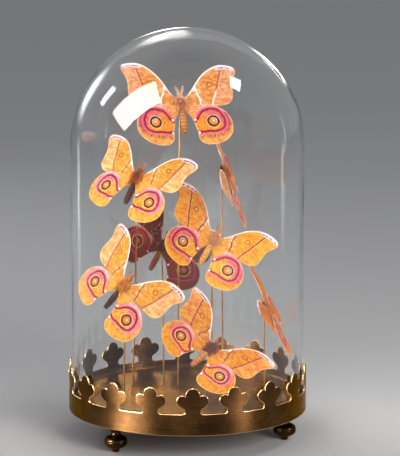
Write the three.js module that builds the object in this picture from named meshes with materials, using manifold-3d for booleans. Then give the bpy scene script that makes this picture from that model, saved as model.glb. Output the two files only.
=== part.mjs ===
// Glass display dome on a pierced brass gallery base with three ball feet.
// Eight mounted silk moths stand inside it on thin brass rods.
// Units are millimetres, +Z is up, the origin is on the ground under the middle of the base.

import * as THREE from 'three';
import { mergeVertices } from 'three/addons/utils/BufferGeometryUtils.js';
import Module from 'manifold-3d';

const wasm = await Module();
wasm.setup();

// ---- driving dimensions -----------------------------------------------------

const FIT_GAP = 0.3;

const GALLERY_RADIUS = 125;
const GALLERY_SHEET = 1.5;
const BAND_BOTTOM = 29.5;
const BAND_TOP = 51.8;
const CLOVER_COUNT = 18;
const CLOVER_HEIGHT = 27;
const CLOVER_PHASE = 2.5;
const GALLERY_FACETS = 36;
// Half of a clover's outline, from the slot's floor up: the neck, then the side and top lobes.
const CLOVER_NECK = [[10.6, 0], [8.4, 2], [8.7, 4.8], [11.6, 6.7]];
const SIDE_LOBE = { x: 10.6, y: 13.6, r: 6.1, from: -60, to: 118 };
const TOP_LOBE = { y: CLOVER_HEIGHT - 7.4, r: 7.4, from: -5 };
const LOBE_SEGMENTS = 3;
const CUT_MARGIN = 6;
const CUT_DEPTH = 20;

const TRAY_TOP = 46.5;
const TRAY_THICKNESS = 5;

const DOME_RADIUS = 121.4;
const DOME_WALL = 3;
const DOME_TOP = 430;
const DOME_FACETS = 28;
const DOME_ARC_STEPS = 5;

const FOOT_CIRCLE = 105;
const FOOT_FACETS = 8;
const FOOT_AZIMUTHS = { foot_left: -44.5, foot_right: 75.5, foot_back: 195.5 };

const ROD_RADIUS = 0.9;
const ROD_SIDES = 6;
const ROD_REACH = 0.75;
const ROD_GAP = 0.4;
const SOCKET_SLACK = 0.35;
const THORAX = { x: 5.6, y: 7.4, z: 4.9 };
const HEAD = { y: 8.2, r: 2.8 };
const ABDOMEN_OUTLINE = [[0, 0], [1.9, 1.2], [3.4, 9], [3.6, 18], [2.4, 27], [0, 28]];
const ABDOMEN_TIP = { y: -31, z: -0.6 };
const ABDOMEN_SIDES = 5;
const ANTENNA_OUTLINE = [[0, 0], [1.7, 3], [1.4, 6.5], [0, 9.4]];
const ANTENNA_ROOT = { x: 1.1, y: 8.4, z: 0.3 };
const ANTENNA_RISE = 0.25;
const ANTENNA_SPLAY = 0.34;
const ANTENNA_FLATNESS = 0.35;
const LEGS = [
  [[2.4, 4.5, -3], [5.2, 7.5, -6], [4.4, 10.5, -8]],
  [[2.8, 1, -3], [6.6, 1.5, -6.5], [6.4, -2, -9.5]],
  [[3.4, -2, -2.4], [6.6, -5, -3.4], [4, -12, -5]],
];
const LEG_SECTION = [[0.55, 0], [-0.3, 0.5], [-0.3, -0.5]];
const LEG_STEPS = 2;
const WING_THICKNESS = 0.6;
const WING_SEGMENTS = 3;
const FORE_LENGTH = 61;
const FORE_ROOT = { x: 4.5, y: 3, z: 0.6 };
const FORE_ANGLE = 29;
const HIND_ROOT = { x: 4, y: -6, z: 1.3 };

// Each moth: centre of the thorax, where its rod stands on the tray, then the turn about
// the upright axis, the lean back and the roll in degrees, its size against a 118 mm wing
// spread, the forward swing of the four wings, and the lift of the left and right pair.
const MOTHS = {
  moth_top: {
    centre: [-7.3, 25, 348.4], rod: [-9.8, 30.2], turn: 19, lean: -32, roll: 2, size: 1.12,
    swing: { foreLeft: 7, foreRight: 3, hindLeft: 3, hindRight: 4 }, liftLeft: 4, liftRight: 4,
  },
  moth_upper_left: {
    centre: [-53.3, 22.5, 270.3], rod: [-58.4, 27.5], turn: -25, lean: -35, roll: 10, size: 1.03,
    swing: { foreLeft: 8, foreRight: -3, hindLeft: 14, hindRight: -3 }, liftLeft: -7, liftRight: -2,
  },
  moth_upper_right: {
    centre: [39.4, 36.5, 272.5], rod: [38.1, 37.4], turn: 85, lean: -21, roll: -30, size: 1.1,
    swing: { foreLeft: -3, foreRight: 3, hindLeft: -9, hindRight: 7 }, liftLeft: 0, liftRight: 0,
  },
  moth_centre: {
    centre: [27.3, 17.9, 204.8], rod: [25.6, 23], turn: 24, lean: -25, roll: 39, size: 1.05,
    swing: { foreLeft: -2, foreRight: -2, hindLeft: 0, hindRight: -2 }, liftLeft: 6, liftRight: 13,
  },
  moth_lower_left: {
    centre: [-65.9, -17.2, 163.2], rod: [-67, -9.5], turn: -30, lean: -22, roll: 35, size: 1.06,
    swing: { foreLeft: 6, foreRight: 2, hindLeft: 6, hindRight: 0 }, liftLeft: -8, liftRight: -9,
  },
  moth_back: {
    centre: [-26.8, 66.3, 188.9], rod: [-25.5, 71.3], turn: 24, lean: -19, roll: 37, size: 1.01,
    swing: { foreLeft: 14, foreRight: 11, hindLeft: 18, hindRight: 20 }, liftLeft: 17, liftRight: 18,
  },
  moth_bottom: {
    centre: [23.8, -34.7, 99], rod: [18.3, -29.6], turn: 24, lean: -41, roll: 58, size: 1.03,
    swing: { foreLeft: 1, foreRight: 1, hindLeft: 8, hindRight: 4 }, liftLeft: 13, liftRight: 10,
  },
  moth_lower_right: {
    centre: [84, 4.2, 133.2], rod: [81.5, 5.2], turn: 86, lean: -29, roll: -20, size: 1.04,
    swing: { foreLeft: 1, foreRight: -4, hindLeft: 7, hindRight: 9 }, liftLeft: -1, liftRight: 2,
  },
};

// ---- materials ----------------------------------------------------------------

const brass = new THREE.MeshStandardMaterial({ color: 0x8a6136, metalness: 1, roughness: 0.32 });
const darkBrass = new THREE.MeshStandardMaterial({ color: 0x5e4126, metalness: 1, roughness: 0.35 });
const rodBrass = new THREE.MeshStandardMaterial({ color: 0x9a7440, metalness: 1, roughness: 0.4 });
const glass = new THREE.MeshStandardMaterial({
  color: 0xf4f8f8, metalness: 0, roughness: 0.03, transparent: true, opacity: 0.3,
});
const goldenWing = new THREE.MeshStandardMaterial({ color: 0xe8a23c, metalness: 0, roughness: 0.8 });
const tawnyWing = new THREE.MeshStandardMaterial({ color: 0xc9803f, metalness: 0, roughness: 0.8 });
const darkWing = new THREE.MeshStandardMaterial({ color: 0x8a5226, metalness: 0, roughness: 0.8 });

// ---- mesh helpers -------------------------------------------------------------

// Keeps only the positions, merges equal corners and drops triangles without area.
function closedGeometry(geometry) {
  const bare = geometry.clone();
  for (const name of Object.keys(bare.attributes)) {
    if (name !== 'position') bare.deleteAttribute(name);
  }
  const merged = mergeVertices(bare, 1e-4);
  const index = merged.index.array;
  const kept = [];
  for (let i = 0; i < index.length; i += 3) {
    const [a, b, c] = [index[i], index[i + 1], index[i + 2]];
    if (a !== b && b !== c && c !== a) kept.push(a, b, c);
  }
  merged.setIndex(kept);
  merged.clearGroups();
  return merged;
}

function toSolid(geometry) {
  const closed = closedGeometry(geometry);
  return new wasm.Manifold(new wasm.Mesh({
    numProp: 3,
    vertProperties: new Float32Array(closed.attributes.position.array),
    triVerts: new Uint32Array(closed.index.array),
  }));
}

function toGeometry(solid) {
  const mesh = solid.getMesh();
  const geometry = new THREE.BufferGeometry();
  geometry.setAttribute('position', new THREE.BufferAttribute(mesh.vertProperties, 3));
  geometry.setIndex(new THREE.BufferAttribute(mesh.triVerts, 1));
  return geometry;
}

function joined(geometries) {
  let whole = toSolid(geometries[0]);
  for (const geometry of geometries.slice(1)) {
    whole = whole.add(toSolid(geometry));
  }
  return whole;
}

// Reverses the winding of a geometry that has been mirrored.
function flipped(geometry) {
  const bare = closedGeometry(geometry);
  const index = bare.index.array;
  const turned = [];
  for (let i = 0; i < index.length; i += 3) {
    turned.push(index[i], index[i + 2], index[i + 1]);
  }
  bare.setIndex(turned);
  return bare;
}

// A lathe about Z from [radius, height] pairs, listed from the bottom up on the outside.
function turnedAboutZ(profile, facets) {
  const points = profile.map(([radius, height]) => new THREE.Vector2(radius, height));
  return closedGeometry(new THREE.LatheGeometry(points, facets).rotateX(Math.PI / 2));
}

const assembly = new THREE.Group();

function addPiece(name, geometry, material) {
  const mesh = new THREE.Mesh(geometry, material);
  mesh.name = name;
  mesh.geometry.computeVertexNormals();
  assembly.add(mesh);
  return mesh;
}

// ---- tray ---------------------------------------------------------------------

const trayRadius = GALLERY_RADIUS - GALLERY_SHEET - FIT_GAP;
const trayBottom = TRAY_TOP - TRAY_THICKNESS;
const trayProfile = [
  [0, trayBottom],
  [trayRadius, trayBottom],
  [trayRadius, TRAY_TOP],
  [0, TRAY_TOP],
];
addPiece('base_tray', turnedAboutZ(trayProfile, GALLERY_FACETS), brass);

// ---- gallery ------------------------------------------------------------------

// One period of the strip above the band: everything round a three-lobed clover on a neck.
function cloverSurround() {
  const rad = THREE.MathUtils.degToRad;
  const halfPitch = (Math.PI * GALLERY_RADIUS) / CLOVER_COUNT + FIT_GAP * 2;
  const above = CLOVER_HEIGHT + CUT_MARGIN;
  const { x, y, r, from, to } = SIDE_LOBE;
  const shape = new THREE.Shape();
  shape.moveTo(halfPitch, 0);
  shape.lineTo(halfPitch, above);
  shape.lineTo(-halfPitch, above);
  shape.lineTo(-halfPitch, 0);
  for (const [across, up] of CLOVER_NECK) shape.lineTo(-across, up);
  shape.absarc(-x, y, r, rad(-180 - from), rad(-180 - to), true);
  shape.absarc(0, TOP_LOBE.y, TOP_LOBE.r, rad(180 - TOP_LOBE.from), rad(TOP_LOBE.from), true);
  shape.absarc(x, y, r, rad(to), rad(from), true);
  for (const [across, up] of [...CLOVER_NECK].reverse()) shape.lineTo(across, up);
  shape.closePath();
  const cutter = new THREE.ExtrudeGeometry(shape, {
    depth: CUT_DEPTH, bevelEnabled: false, curveSegments: LOBE_SEGMENTS,
  });
  cutter.rotateX(Math.PI / 2);
  cutter.translate(0, CUT_DEPTH / 2 - GALLERY_RADIUS, BAND_TOP);
  return cutter;
}

const inner = GALLERY_RADIUS - GALLERY_SHEET;
const galleryTop = BAND_TOP + CLOVER_HEIGHT + 1;
const galleryProfile = [
  [inner, BAND_BOTTOM],
  [GALLERY_RADIUS, BAND_BOTTOM],
  [GALLERY_RADIUS, galleryTop],
  [inner, galleryTop],
  [inner, BAND_BOTTOM],
];
let gallery = toSolid(turnedAboutZ(galleryProfile, GALLERY_FACETS));
for (let i = 0; i < CLOVER_COUNT; i += 1) {
  const angle = THREE.MathUtils.degToRad(CLOVER_PHASE + (360 / CLOVER_COUNT) * i);
  gallery = gallery.subtract(toSolid(cloverSurround().rotateZ(angle)));
}
addPiece('gallery_rim', toGeometry(gallery), brass);

// ---- feet ---------------------------------------------------------------------

const footTop = trayBottom - FIT_GAP;
const footProfile = [
  [0, 0],
  [3, 0],
  [4.1, 3.4],
  [7.5, 5],
  [11.2, 7.6],
  [12.2, 10.6],
  [11.4, 11.2],
  [11.9, 12.6],
  [10, 16],
  [5.6, 18],
  [4.9, 21.5],
  [7, 24.5],
  [7, footTop],
  [0, footTop],
];
for (const [name, azimuth] of Object.entries(FOOT_AZIMUTHS)) {
  const angle = THREE.MathUtils.degToRad(azimuth);
  const foot = addPiece(name, turnedAboutZ(footProfile, FOOT_FACETS), darkBrass);
  foot.position.set(FOOT_CIRCLE * Math.sin(angle), -FOOT_CIRCLE * Math.cos(angle), 0);
}

// ---- glass dome ---------------------------------------------------------------

const domeBottom = TRAY_TOP + FIT_GAP;
const shoulder = DOME_TOP - DOME_RADIUS;
const domeInner = DOME_RADIUS - DOME_WALL;
const domeProfile = [[domeInner, domeBottom], [DOME_RADIUS, domeBottom]];
for (let i = 0; i <= DOME_ARC_STEPS; i += 1) {
  const a = (i / DOME_ARC_STEPS) * (Math.PI / 2);
  domeProfile.push([i === DOME_ARC_STEPS ? 0 : DOME_RADIUS * Math.cos(a), shoulder + DOME_RADIUS * Math.sin(a)]);
}
for (let i = DOME_ARC_STEPS; i >= 0; i -= 1) {
  const a = (i / DOME_ARC_STEPS) * (Math.PI / 2);
  domeProfile.push([i === DOME_ARC_STEPS ? 0 : domeInner * Math.cos(a), shoulder + domeInner * Math.sin(a)]);
}
domeProfile.push([domeInner, domeBottom]);
addPiece('glass_dome', turnedAboutZ(domeProfile, DOME_FACETS), glass);

// ---- moths --------------------------------------------------------------------

// Right forewing as a flat plate: u runs from the root to the hooked tip, v to the front edge.
function foreWing() {
  const shape = new THREE.Shape();
  const at = (u, v) => [u * FORE_LENGTH, v * FORE_LENGTH];
  shape.moveTo(...at(-0.02, 0));
  shape.lineTo(...at(0.225, 0.085));
  shape.bezierCurveTo(...at(0.42, 0.17), ...at(0.62, 0.24), ...at(0.8, 0.165));
  shape.bezierCurveTo(...at(0.9, 0.12), ...at(0.985, 0.06), ...at(1, 0));
  shape.bezierCurveTo(...at(1.01, -0.08), ...at(0.93, -0.1), ...at(0.86, -0.135));
  shape.bezierCurveTo(...at(0.73, -0.2), ...at(0.72, -0.37), ...at(0.6, -0.415));
  shape.bezierCurveTo(...at(0.5, -0.45), ...at(0.4, -0.38), ...at(0.3, -0.31));
  shape.lineTo(...at(0.02, -0.13));
  shape.closePath();
  const plate = new THREE.ExtrudeGeometry(shape, {
    depth: WING_THICKNESS, bevelEnabled: false, curveSegments: WING_SEGMENTS,
  });
  return plate.translate(0, 0, -WING_THICKNESS / 2);
}

// Right hindwing as a flat plate, drawn in the moth's own axes about its root.
function hindWing() {
  const shape = new THREE.Shape();
  const at = (x, y) => [x - HIND_ROOT.x, y - HIND_ROOT.y];
  shape.moveTo(...at(3, -2.5));
  shape.bezierCurveTo(...at(14, -4.5), ...at(23, -3), ...at(31, -6));
  shape.bezierCurveTo(...at(41, -10), ...at(47, -19), ...at(45, -30));
  shape.bezierCurveTo(...at(43, -41), ...at(32, -45), ...at(21.5, -45));
  shape.bezierCurveTo(...at(12, -45), ...at(9, -38), ...at(10.8, -32));
  shape.lineTo(...at(7.5, -16));
  shape.lineTo(...at(3, -9));
  shape.closePath();
  const plate = new THREE.ExtrudeGeometry(shape, {
    depth: WING_THICKNESS, bevelEnabled: false, curveSegments: WING_SEGMENTS,
  });
  return plate.translate(0, 0, -WING_THICKNESS / 2);
}

// Swings a right wing forward, lifts it, and sets it at its root; the left one is mirrored.
function setWing(plate, root, angle, lift, side) {
  const wing = plate.rotateZ(THREE.MathUtils.degToRad(angle));
  wing.rotateY(THREE.MathUtils.degToRad(-lift));
  wing.translate(root.x, root.y, root.z);
  return side === 'left' ? flipped(wing.scale(-1, 1, 1)) : wing;
}

function leg(side, points) {
  const path = new THREE.CatmullRomCurve3(
    points.map(([x, y, z]) => new THREE.Vector3(side * x, y, z)),
    false, 'catmullrom', 0.1,
  );
  const section = new THREE.Shape(LEG_SECTION.map(([x, y]) => new THREE.Vector2(x, y)));
  return new THREE.ExtrudeGeometry(section, { steps: LEG_STEPS, extrudePath: path, bevelEnabled: false });
}

function antenna(side) {
  const blade = turnedAboutZ(ANTENNA_OUTLINE, 4).scale(1, ANTENNA_FLATNESS, 1);
  blade.rotateX(ANTENNA_RISE - Math.PI / 2);
  blade.rotateZ(-side * ANTENNA_SPLAY);
  return blade.translate(side * ANTENNA_ROOT.x, ANTENNA_ROOT.y, ANTENNA_ROOT.z);
}

// Everything that grew on one insect, in its own axes: +X right, +Y head, +Z back.
function mothGeometries(moth) {
  const { swing, liftLeft, liftRight } = moth;
  const thorax = new THREE.SphereGeometry(1, 8, 6).scale(THORAX.x, THORAX.y, THORAX.z);
  const head = new THREE.SphereGeometry(HEAD.r, 6, 4).translate(0, HEAD.y, 0);
  const tail = turnedAboutZ(ABDOMEN_OUTLINE, ABDOMEN_SIDES);
  const abdomen = tail.rotateX(-Math.PI / 2).translate(0, ABDOMEN_TIP.y, ABDOMEN_TIP.z);
  return [
    thorax,
    head,
    abdomen,
    setWing(foreWing(), FORE_ROOT, FORE_ANGLE + swing.foreLeft, liftLeft, 'left'),
    setWing(foreWing(), FORE_ROOT, FORE_ANGLE + swing.foreRight, liftRight, 'right'),
    setWing(hindWing(), HIND_ROOT, swing.hindLeft, liftLeft, 'left'),
    setWing(hindWing(), HIND_ROOT, swing.hindRight, liftRight, 'right'),
    antenna(1),
    antenna(-1),
    ...[1, -1].flatMap((side) => LEGS.map((points) => leg(side, points))),
  ];
}

function mothMatrix(moth) {
  const rad = THREE.MathUtils.degToRad;
  const pose = new THREE.Matrix4().makeRotationFromEuler(
    new THREE.Euler(rad(moth.lean), rad(moth.roll), rad(moth.turn), 'ZXY'),
  );
  const upright = new THREE.Matrix4().makeRotationX(Math.PI / 2);
  const size = new THREE.Matrix4().makeScale(moth.size, moth.size, moth.size);
  const place = new THREE.Matrix4().makeTranslation(...moth.centre);
  return place.multiply(pose).multiply(upright).multiply(size);
}

// The rod rises from the tray to the underside of the thorax and stops just short of it.
function rodSolid(moth) {
  const matrix = mothMatrix(moth);
  const foot = new THREE.Vector3(...moth.rod, TRAY_TOP + ROD_GAP);
  const end = new THREE.Vector3(0, 0, -THORAX.z * ROD_REACH).applyMatrix4(matrix);
  const length = foot.distanceTo(end);
  const rod = new THREE.CylinderGeometry(ROD_RADIUS, ROD_RADIUS, length, ROD_SIDES);
  rod.translate(0, length / 2, 0);
  rod.applyQuaternion(new THREE.Quaternion().setFromUnitVectors(
    new THREE.Vector3(0, 1, 0), end.clone().sub(foot).normalize(),
  ));
  rod.translate(foot.x, foot.y, foot.z);
  const grow = FIT_GAP + SOCKET_SLACK;
  const socket = new THREE.SphereGeometry(1, 10, 8);
  socket.scale(THORAX.x + grow, THORAX.y + grow, THORAX.z + grow);
  return toSolid(rod).subtract(toSolid(socket.applyMatrix4(matrix)));
}

const wingColours = { moth_top: tawnyWing, moth_upper_right: tawnyWing, moth_back: darkWing };
for (const [name, moth] of Object.entries(MOTHS)) {
  const body = toGeometry(joined(mothGeometries(moth)));
  body.applyMatrix4(mothMatrix(moth));
  addPiece(name, body, wingColours[name] ?? goldenWing);
  addPiece(name.replace('moth_', 'rod_'), toGeometry(rodSolid(moth)), rodBrass);
}

export default assembly;
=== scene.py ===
import math
import random

import bmesh
import bpy
from mathutils import Euler, Matrix, Vector, noise


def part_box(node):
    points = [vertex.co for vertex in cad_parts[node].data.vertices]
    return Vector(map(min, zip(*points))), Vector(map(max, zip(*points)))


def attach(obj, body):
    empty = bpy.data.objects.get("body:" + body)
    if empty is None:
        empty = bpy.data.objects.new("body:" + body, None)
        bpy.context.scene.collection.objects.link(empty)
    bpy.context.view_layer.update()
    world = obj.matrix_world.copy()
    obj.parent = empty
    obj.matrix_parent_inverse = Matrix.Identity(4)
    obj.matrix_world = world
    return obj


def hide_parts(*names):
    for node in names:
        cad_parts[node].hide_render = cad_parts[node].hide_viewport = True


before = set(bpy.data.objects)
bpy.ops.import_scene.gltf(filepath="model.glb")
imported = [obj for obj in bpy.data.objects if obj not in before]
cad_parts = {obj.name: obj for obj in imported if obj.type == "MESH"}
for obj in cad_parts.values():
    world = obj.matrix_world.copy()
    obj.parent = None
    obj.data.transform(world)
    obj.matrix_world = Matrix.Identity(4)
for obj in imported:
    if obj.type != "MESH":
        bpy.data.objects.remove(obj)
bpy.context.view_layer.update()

# ==== Camera, floor and studio light =================================================
# The piece stands on a pale seamless floor under soft boxes. The camera looks slightly
# down on it from two and a half metres away, through a long lens.

CAMERA_PLACE = (0.0, -2.46, 0.6543)
CAMERA_TILT = 0.1758
CAMERA_LENS = 188.92
FRAME_SHIFT = (0.0274, 0.0066)

camera = bpy.data.objects.new("camera", bpy.data.cameras.new("camera"))
camera.location = CAMERA_PLACE
camera.rotation_euler = (math.pi / 2 - CAMERA_TILT, 0.0, 0.0)
camera.data.lens = CAMERA_LENS
camera.data.shift_x, camera.data.shift_y = FRAME_SHIFT
bpy.context.scene.collection.objects.link(camera)
bpy.context.scene.camera = camera


def tone(red, green, blue):
    """A colour given as screen values from 0 to 255, in the linear light that shaders use."""
    def straight(value):
        value /= 255.0
        return value / 12.92 if value <= 0.04045 else ((value + 0.055) / 1.055) ** 2.4
    return (straight(red), straight(green), straight(blue), 1.0)


def finish(name, colour, roughness, metallic=0.0):
    """A new material with one Principled shader: the material and that shader's node."""
    material = bpy.data.materials.new(name)
    material.use_nodes = True
    shader = material.node_tree.nodes["Principled BSDF"]
    shader.inputs["Base Color"].default_value = colour
    shader.inputs["Roughness"].default_value = roughness
    shader.inputs["Metallic"].default_value = metallic
    return material, shader


def maths(tree, operation, first, second=None, third=None):
    """The output of a Math node. Each value is a number or another node's output."""
    node = tree.nodes.new("ShaderNodeMath")
    node.operation = operation
    for socket, value in zip(node.inputs, (first, second, third)):
        if isinstance(value, bpy.types.NodeSocket):
            tree.links.new(value, socket)
        elif value is not None:
            socket.default_value = value
    return node.outputs[0]


def eased(tree, value, start, end):
    """0 where value is at start, 1 where it is at end, with a smooth step between."""
    node = tree.nodes.new("ShaderNodeMapRange")
    node.interpolation_type = "SMOOTHSTEP"
    tree.links.new(value, node.inputs["Value"])
    node.inputs["From Min"].default_value, node.inputs["From Max"].default_value = start, end
    return node.outputs["Result"]


def parted(tree, vector):
    """The three parts of a vector."""
    node = tree.nodes.new("ShaderNodeSeparateXYZ")
    tree.links.new(vector, node.inputs[0])
    return node.outputs


FLOOR_SIZE = 30.0
FLOOR_GREY = tone(206, 206, 208)
FLOOR_ROUGHNESS = 0.7
AIR_COLOUR = (0.83, 0.84, 0.86, 1.0)
AIR_STRENGTH = 0.32

half = FLOOR_SIZE / 2
floor_corners = [(-half, -half, 0), (half, -half, 0), (half, half, 0), (-half, half, 0)]
floor_mesh = bpy.data.meshes.new("floor")
floor_mesh.from_pydata(floor_corners, [], [(0, 1, 2, 3)])
floor = bpy.data.objects.new("floor", floor_mesh)
bpy.context.scene.collection.objects.link(floor)
floor_mesh.materials.append(finish("floor_paint", FLOOR_GREY, FLOOR_ROUGHNESS)[0])

world = bpy.data.worlds.new("studio")
world.use_nodes = True
air = world.node_tree.nodes["Background"]
air.inputs["Color"].default_value = AIR_COLOUR
air.inputs["Strength"].default_value = AIR_STRENGTH
bpy.context.scene.world = world


def faded_edges(light, fade):
    """Lets a lamp's light fade out towards its edges, over that share of its width."""
    light.use_nodes = True
    tree = light.node_tree
    across = parted(tree, tree.nodes.new("ShaderNodeNewGeometry").outputs["Parametric"])
    shares = [eased(tree, maths(tree, "PINGPONG", across[axis], 0.5), 0.0, fade) for axis in (0, 1)]
    tree.links.new(maths(tree, "MULTIPLY", *shares), tree.nodes["Emission"].inputs["Strength"])


def soft_box(name, place, aim, size, watts, colour=(1.0, 1.0, 1.0), roll=0.0, fade=0.0):
    """A rectangular lamp at place that shines at aim, turned by roll degrees about that line."""
    lamp = bpy.data.objects.new(name, bpy.data.lights.new(name, "AREA"))
    lamp.data.shape = "RECTANGLE"
    lamp.data.size, lamp.data.size_y = size
    lamp.data.energy = watts
    lamp.data.color = colour
    lamp.location = place
    turn = (Vector(aim) - Vector(place)).to_track_quat("-Z", "Y")
    lamp.rotation_euler = (turn @ Euler((0.0, 0.0, math.radians(roll))).to_quaternion()).to_euler()
    bpy.context.scene.collection.objects.link(lamp)
    if fade:
        faded_edges(lamp.data, fade)
    return lamp


WARM = (1.0, 0.96, 0.91)
SOFT = 0.5
DOME_MIDDLE = (0.0, 0.0, 0.3)
BASE_MIDDLE = (0.0, 0.0, 0.05)

soft_box("small_box", (0.9, -0.15, 1.49), (0.03, -0.08, 0.36), (0.32, 0.24), 4.0, roll=22)
soft_box("rim_box", (-1.31, 0.40, 1.05), DOME_MIDDLE, (0.16, 0.36), 2.5)
soft_box("glow_panel", (-1.15, 1.35, 0.75), DOME_MIDDLE, (0.7, 0.9), 11.0, fade=SOFT)
# The glass, the brass, and the insects with the floor each have lamps of their own, and two back
# lamps light only brass and glass, as in a studio where flags keep a lamp off a part of the set.
glass_lamps = [
    soft_box("key_box", (-1.12, -0.55, 1.27), (-0.05, -0.09, 0.36), (0.7, 1.2), 35.0, WARM, roll=-29),
    soft_box("right_strip", (0.80, 0.14, 0.20), (0.0, 0.0, 0.20), (0.05, 0.34), 0.16, fade=SOFT),
    soft_box("left_strip", (-0.60, 0.46, 0.16), (0.0, 0.0, 0.16), (0.06, 0.34), 0.16, fade=SOFT),
]
moth_lamps = [
    soft_box("moth_fill", (0.9, -1.6, 0.8), (0.0, 0.0, 0.25), (0.8, 0.8), 26.0, WARM),
]
brass_lamps = [
    soft_box("brass_front", (-1.66, -1.10, 0.40), BASE_MIDDLE, (1.6, 0.8), 560.0, WARM, fade=SOFT),
    soft_box("brass_side", (1.45, -1.10, 0.40), BASE_MIDDLE, (0.20, 0.8), 78.0, WARM, fade=SOFT),
    soft_box("brass_top", (0.0, -0.45, 1.7), BASE_MIDDLE, (1.3, 0.7), 110.0, WARM, fade=SOFT),
]
back_lamps = [
    soft_box("back_left", (-0.12, 2.20, 0.60), BASE_MIDDLE, (0.3, 0.5), 3.5, WARM, fade=SOFT),
    soft_box("back_right", (0.60, 2.15, 0.60), BASE_MIDDLE, (0.25, 0.5), 7.0, WARM, fade=SOFT),
]

bpy.context.scene.view_settings.view_transform = "Standard"

# ==== Base tray ======================================================================
# The tray is a round of sheet brass with a low rolled bead just inside the glass. It is
# spun on a lathe, so fine rings run round it, and aged to a warm antique bronze.

MM = 0.001
TRAY_LOW, TRAY_HIGH = (corner[2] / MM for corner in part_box("base_tray"))
TRAY_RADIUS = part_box("base_tray")[1][0] / MM
TRAY_EDGE = 0.4
TRAY_DIP = 0.7
TRAY_FACETS = 144
UNDER_RING = 60
FLOOR_RINGS = (100, 50)
BEAD_CENTRE = 114.6
BEAD_HALF = 1.3
BEAD_HEIGHT = 1.1
BEAD_DROP = 1.0
BEAD_FLANK = 1.2
BEAD_STEPS = 8
TURNING_FINENESS = 2600.0
CLOUD_FINENESS = 22.0
SPECK_FINENESS = 420.0


def piece(name, points, faces, materials, nodes, slot):
    """A smooth shaded mesh of points in metres that rides on the body in place of the CAD nodes."""
    mesh = bpy.data.meshes.new(name)
    mesh.from_pydata(points, [], faces)
    for material in materials:
        mesh.materials.append(material)
    mesh.shade_smooth()
    made = bpy.data.objects.new(name, mesh)
    bpy.context.scene.collection.objects.link(made)
    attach(made, "root")
    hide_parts(*nodes)
    return made


def turned(profile, facets, centre=(0.0, 0.0)):
    """Points in metres and faces of a turning: profile is (radius, height) in millimetres."""
    points, faces, rings = [], [], []
    for radius, height in profile:
        count = 1 if radius < 1e-6 else facets
        rings.append(range(len(points), len(points) + count))
        for k in range(count):
            angle = 2 * math.pi * k / facets
            place = (centre[0] + radius * math.cos(angle), centre[1] + radius * math.sin(angle), height)
            points.append(tuple(value * MM for value in place))
    for low, high in zip(rings, rings[1:]):
        for k in range(facets):
            after = k + 1
            corners = [low[k % len(low)], low[after % len(low)], high[after % len(high)], high[k % len(high)]]
            kept = [c for i, c in enumerate(corners) if c != corners[i - 1]]
            if len(kept) > 2:
                faces.append(kept)
    return points, faces


def sharpened(made, degrees=35):
    """Keeps the edges of a smooth shaded object crisp where its faces meet at a larger angle."""
    mesh = made.data
    limit = math.cos(math.radians(degrees))
    work = bmesh.new()
    work.from_mesh(mesh)
    for edge in work.edges:
        if len(edge.link_faces) == 2:
            edge.smooth = edge.link_faces[0].normal.dot(edge.link_faces[1].normal) > limit
    work.to_mesh(mesh)
    work.free()


def tinted(tree, amount, first, second, kind="MIX"):
    """The output of a colour Mix node: first where amount is 0, second where it is 1."""
    node = tree.nodes.new("ShaderNodeMix")
    node.data_type, node.blend_type = "RGBA", kind
    for name, value in ((0, amount), (6, first), (7, second)):
        if isinstance(value, bpy.types.NodeSocket):
            tree.links.new(value, node.inputs[name])
        else:
            node.inputs[name].default_value = value
    return node.outputs[2]


def grain_noise(tree, vector, scale, detail=2.0, rough=0.5):
    """The value of a Noise texture at vector."""
    node = tree.nodes.new("ShaderNodeTexNoise")
    tree.links.new(vector, node.inputs["Vector"])
    node.inputs["Scale"].default_value = scale
    node.inputs["Detail"].default_value = detail
    node.inputs["Roughness"].default_value = rough
    return node.outputs["Fac"]


COLOUR, NUMBER = "NodeSocketColor", "NodeSocketFloat"


def effect(name, inputs, outputs):
    """A new shader node group with its named sockets: the group, its input and output nodes."""
    group = bpy.data.node_groups.new(name, "ShaderNodeTree")
    for title, kind in inputs:
        group.interface.new_socket(title, in_out="INPUT", socket_type=kind)
    for title, kind in outputs:
        group.interface.new_socket(title, in_out="OUTPUT", socket_type=kind)
    return group, group.nodes.new("NodeGroupInput"), group.nodes.new("NodeGroupOutput")


def grouped(tree, group, values):
    """A node that uses the shader node group, with its named inputs set to values."""
    node = tree.nodes.new("ShaderNodeGroup")
    node.node_tree = group
    for title, value in values.items():
        node.inputs[title].default_value = value
    return node


def bumped(tree, shader, height, strength, reach):
    """Gives the shader fine relief: reach is its depth in metres where height is 1."""
    bump = tree.nodes.new("ShaderNodeBump")
    bump.inputs["Strength"].default_value = strength
    bump.inputs["Distance"].default_value = reach
    tree.links.new(height, bump.inputs["Height"])
    tree.links.new(bump.outputs["Normal"], shader.inputs["Normal"])


def combined(tree, *values):
    """A vector with its parts from other nodes' outputs, or 0 where a value is None."""
    node = tree.nodes.new("ShaderNodeCombineXYZ")
    for socket, value in zip(node.inputs, values):
        if value is not None:
            tree.links.new(value, socket)
    return node.outputs[0]


def distance(tree, x, y):
    """The distance of the place x, y from the middle."""
    return maths(tree, "SQRT", maths(tree, "MULTIPLY_ADD", x, x, maths(tree, "MULTIPLY", y, y)))


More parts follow.
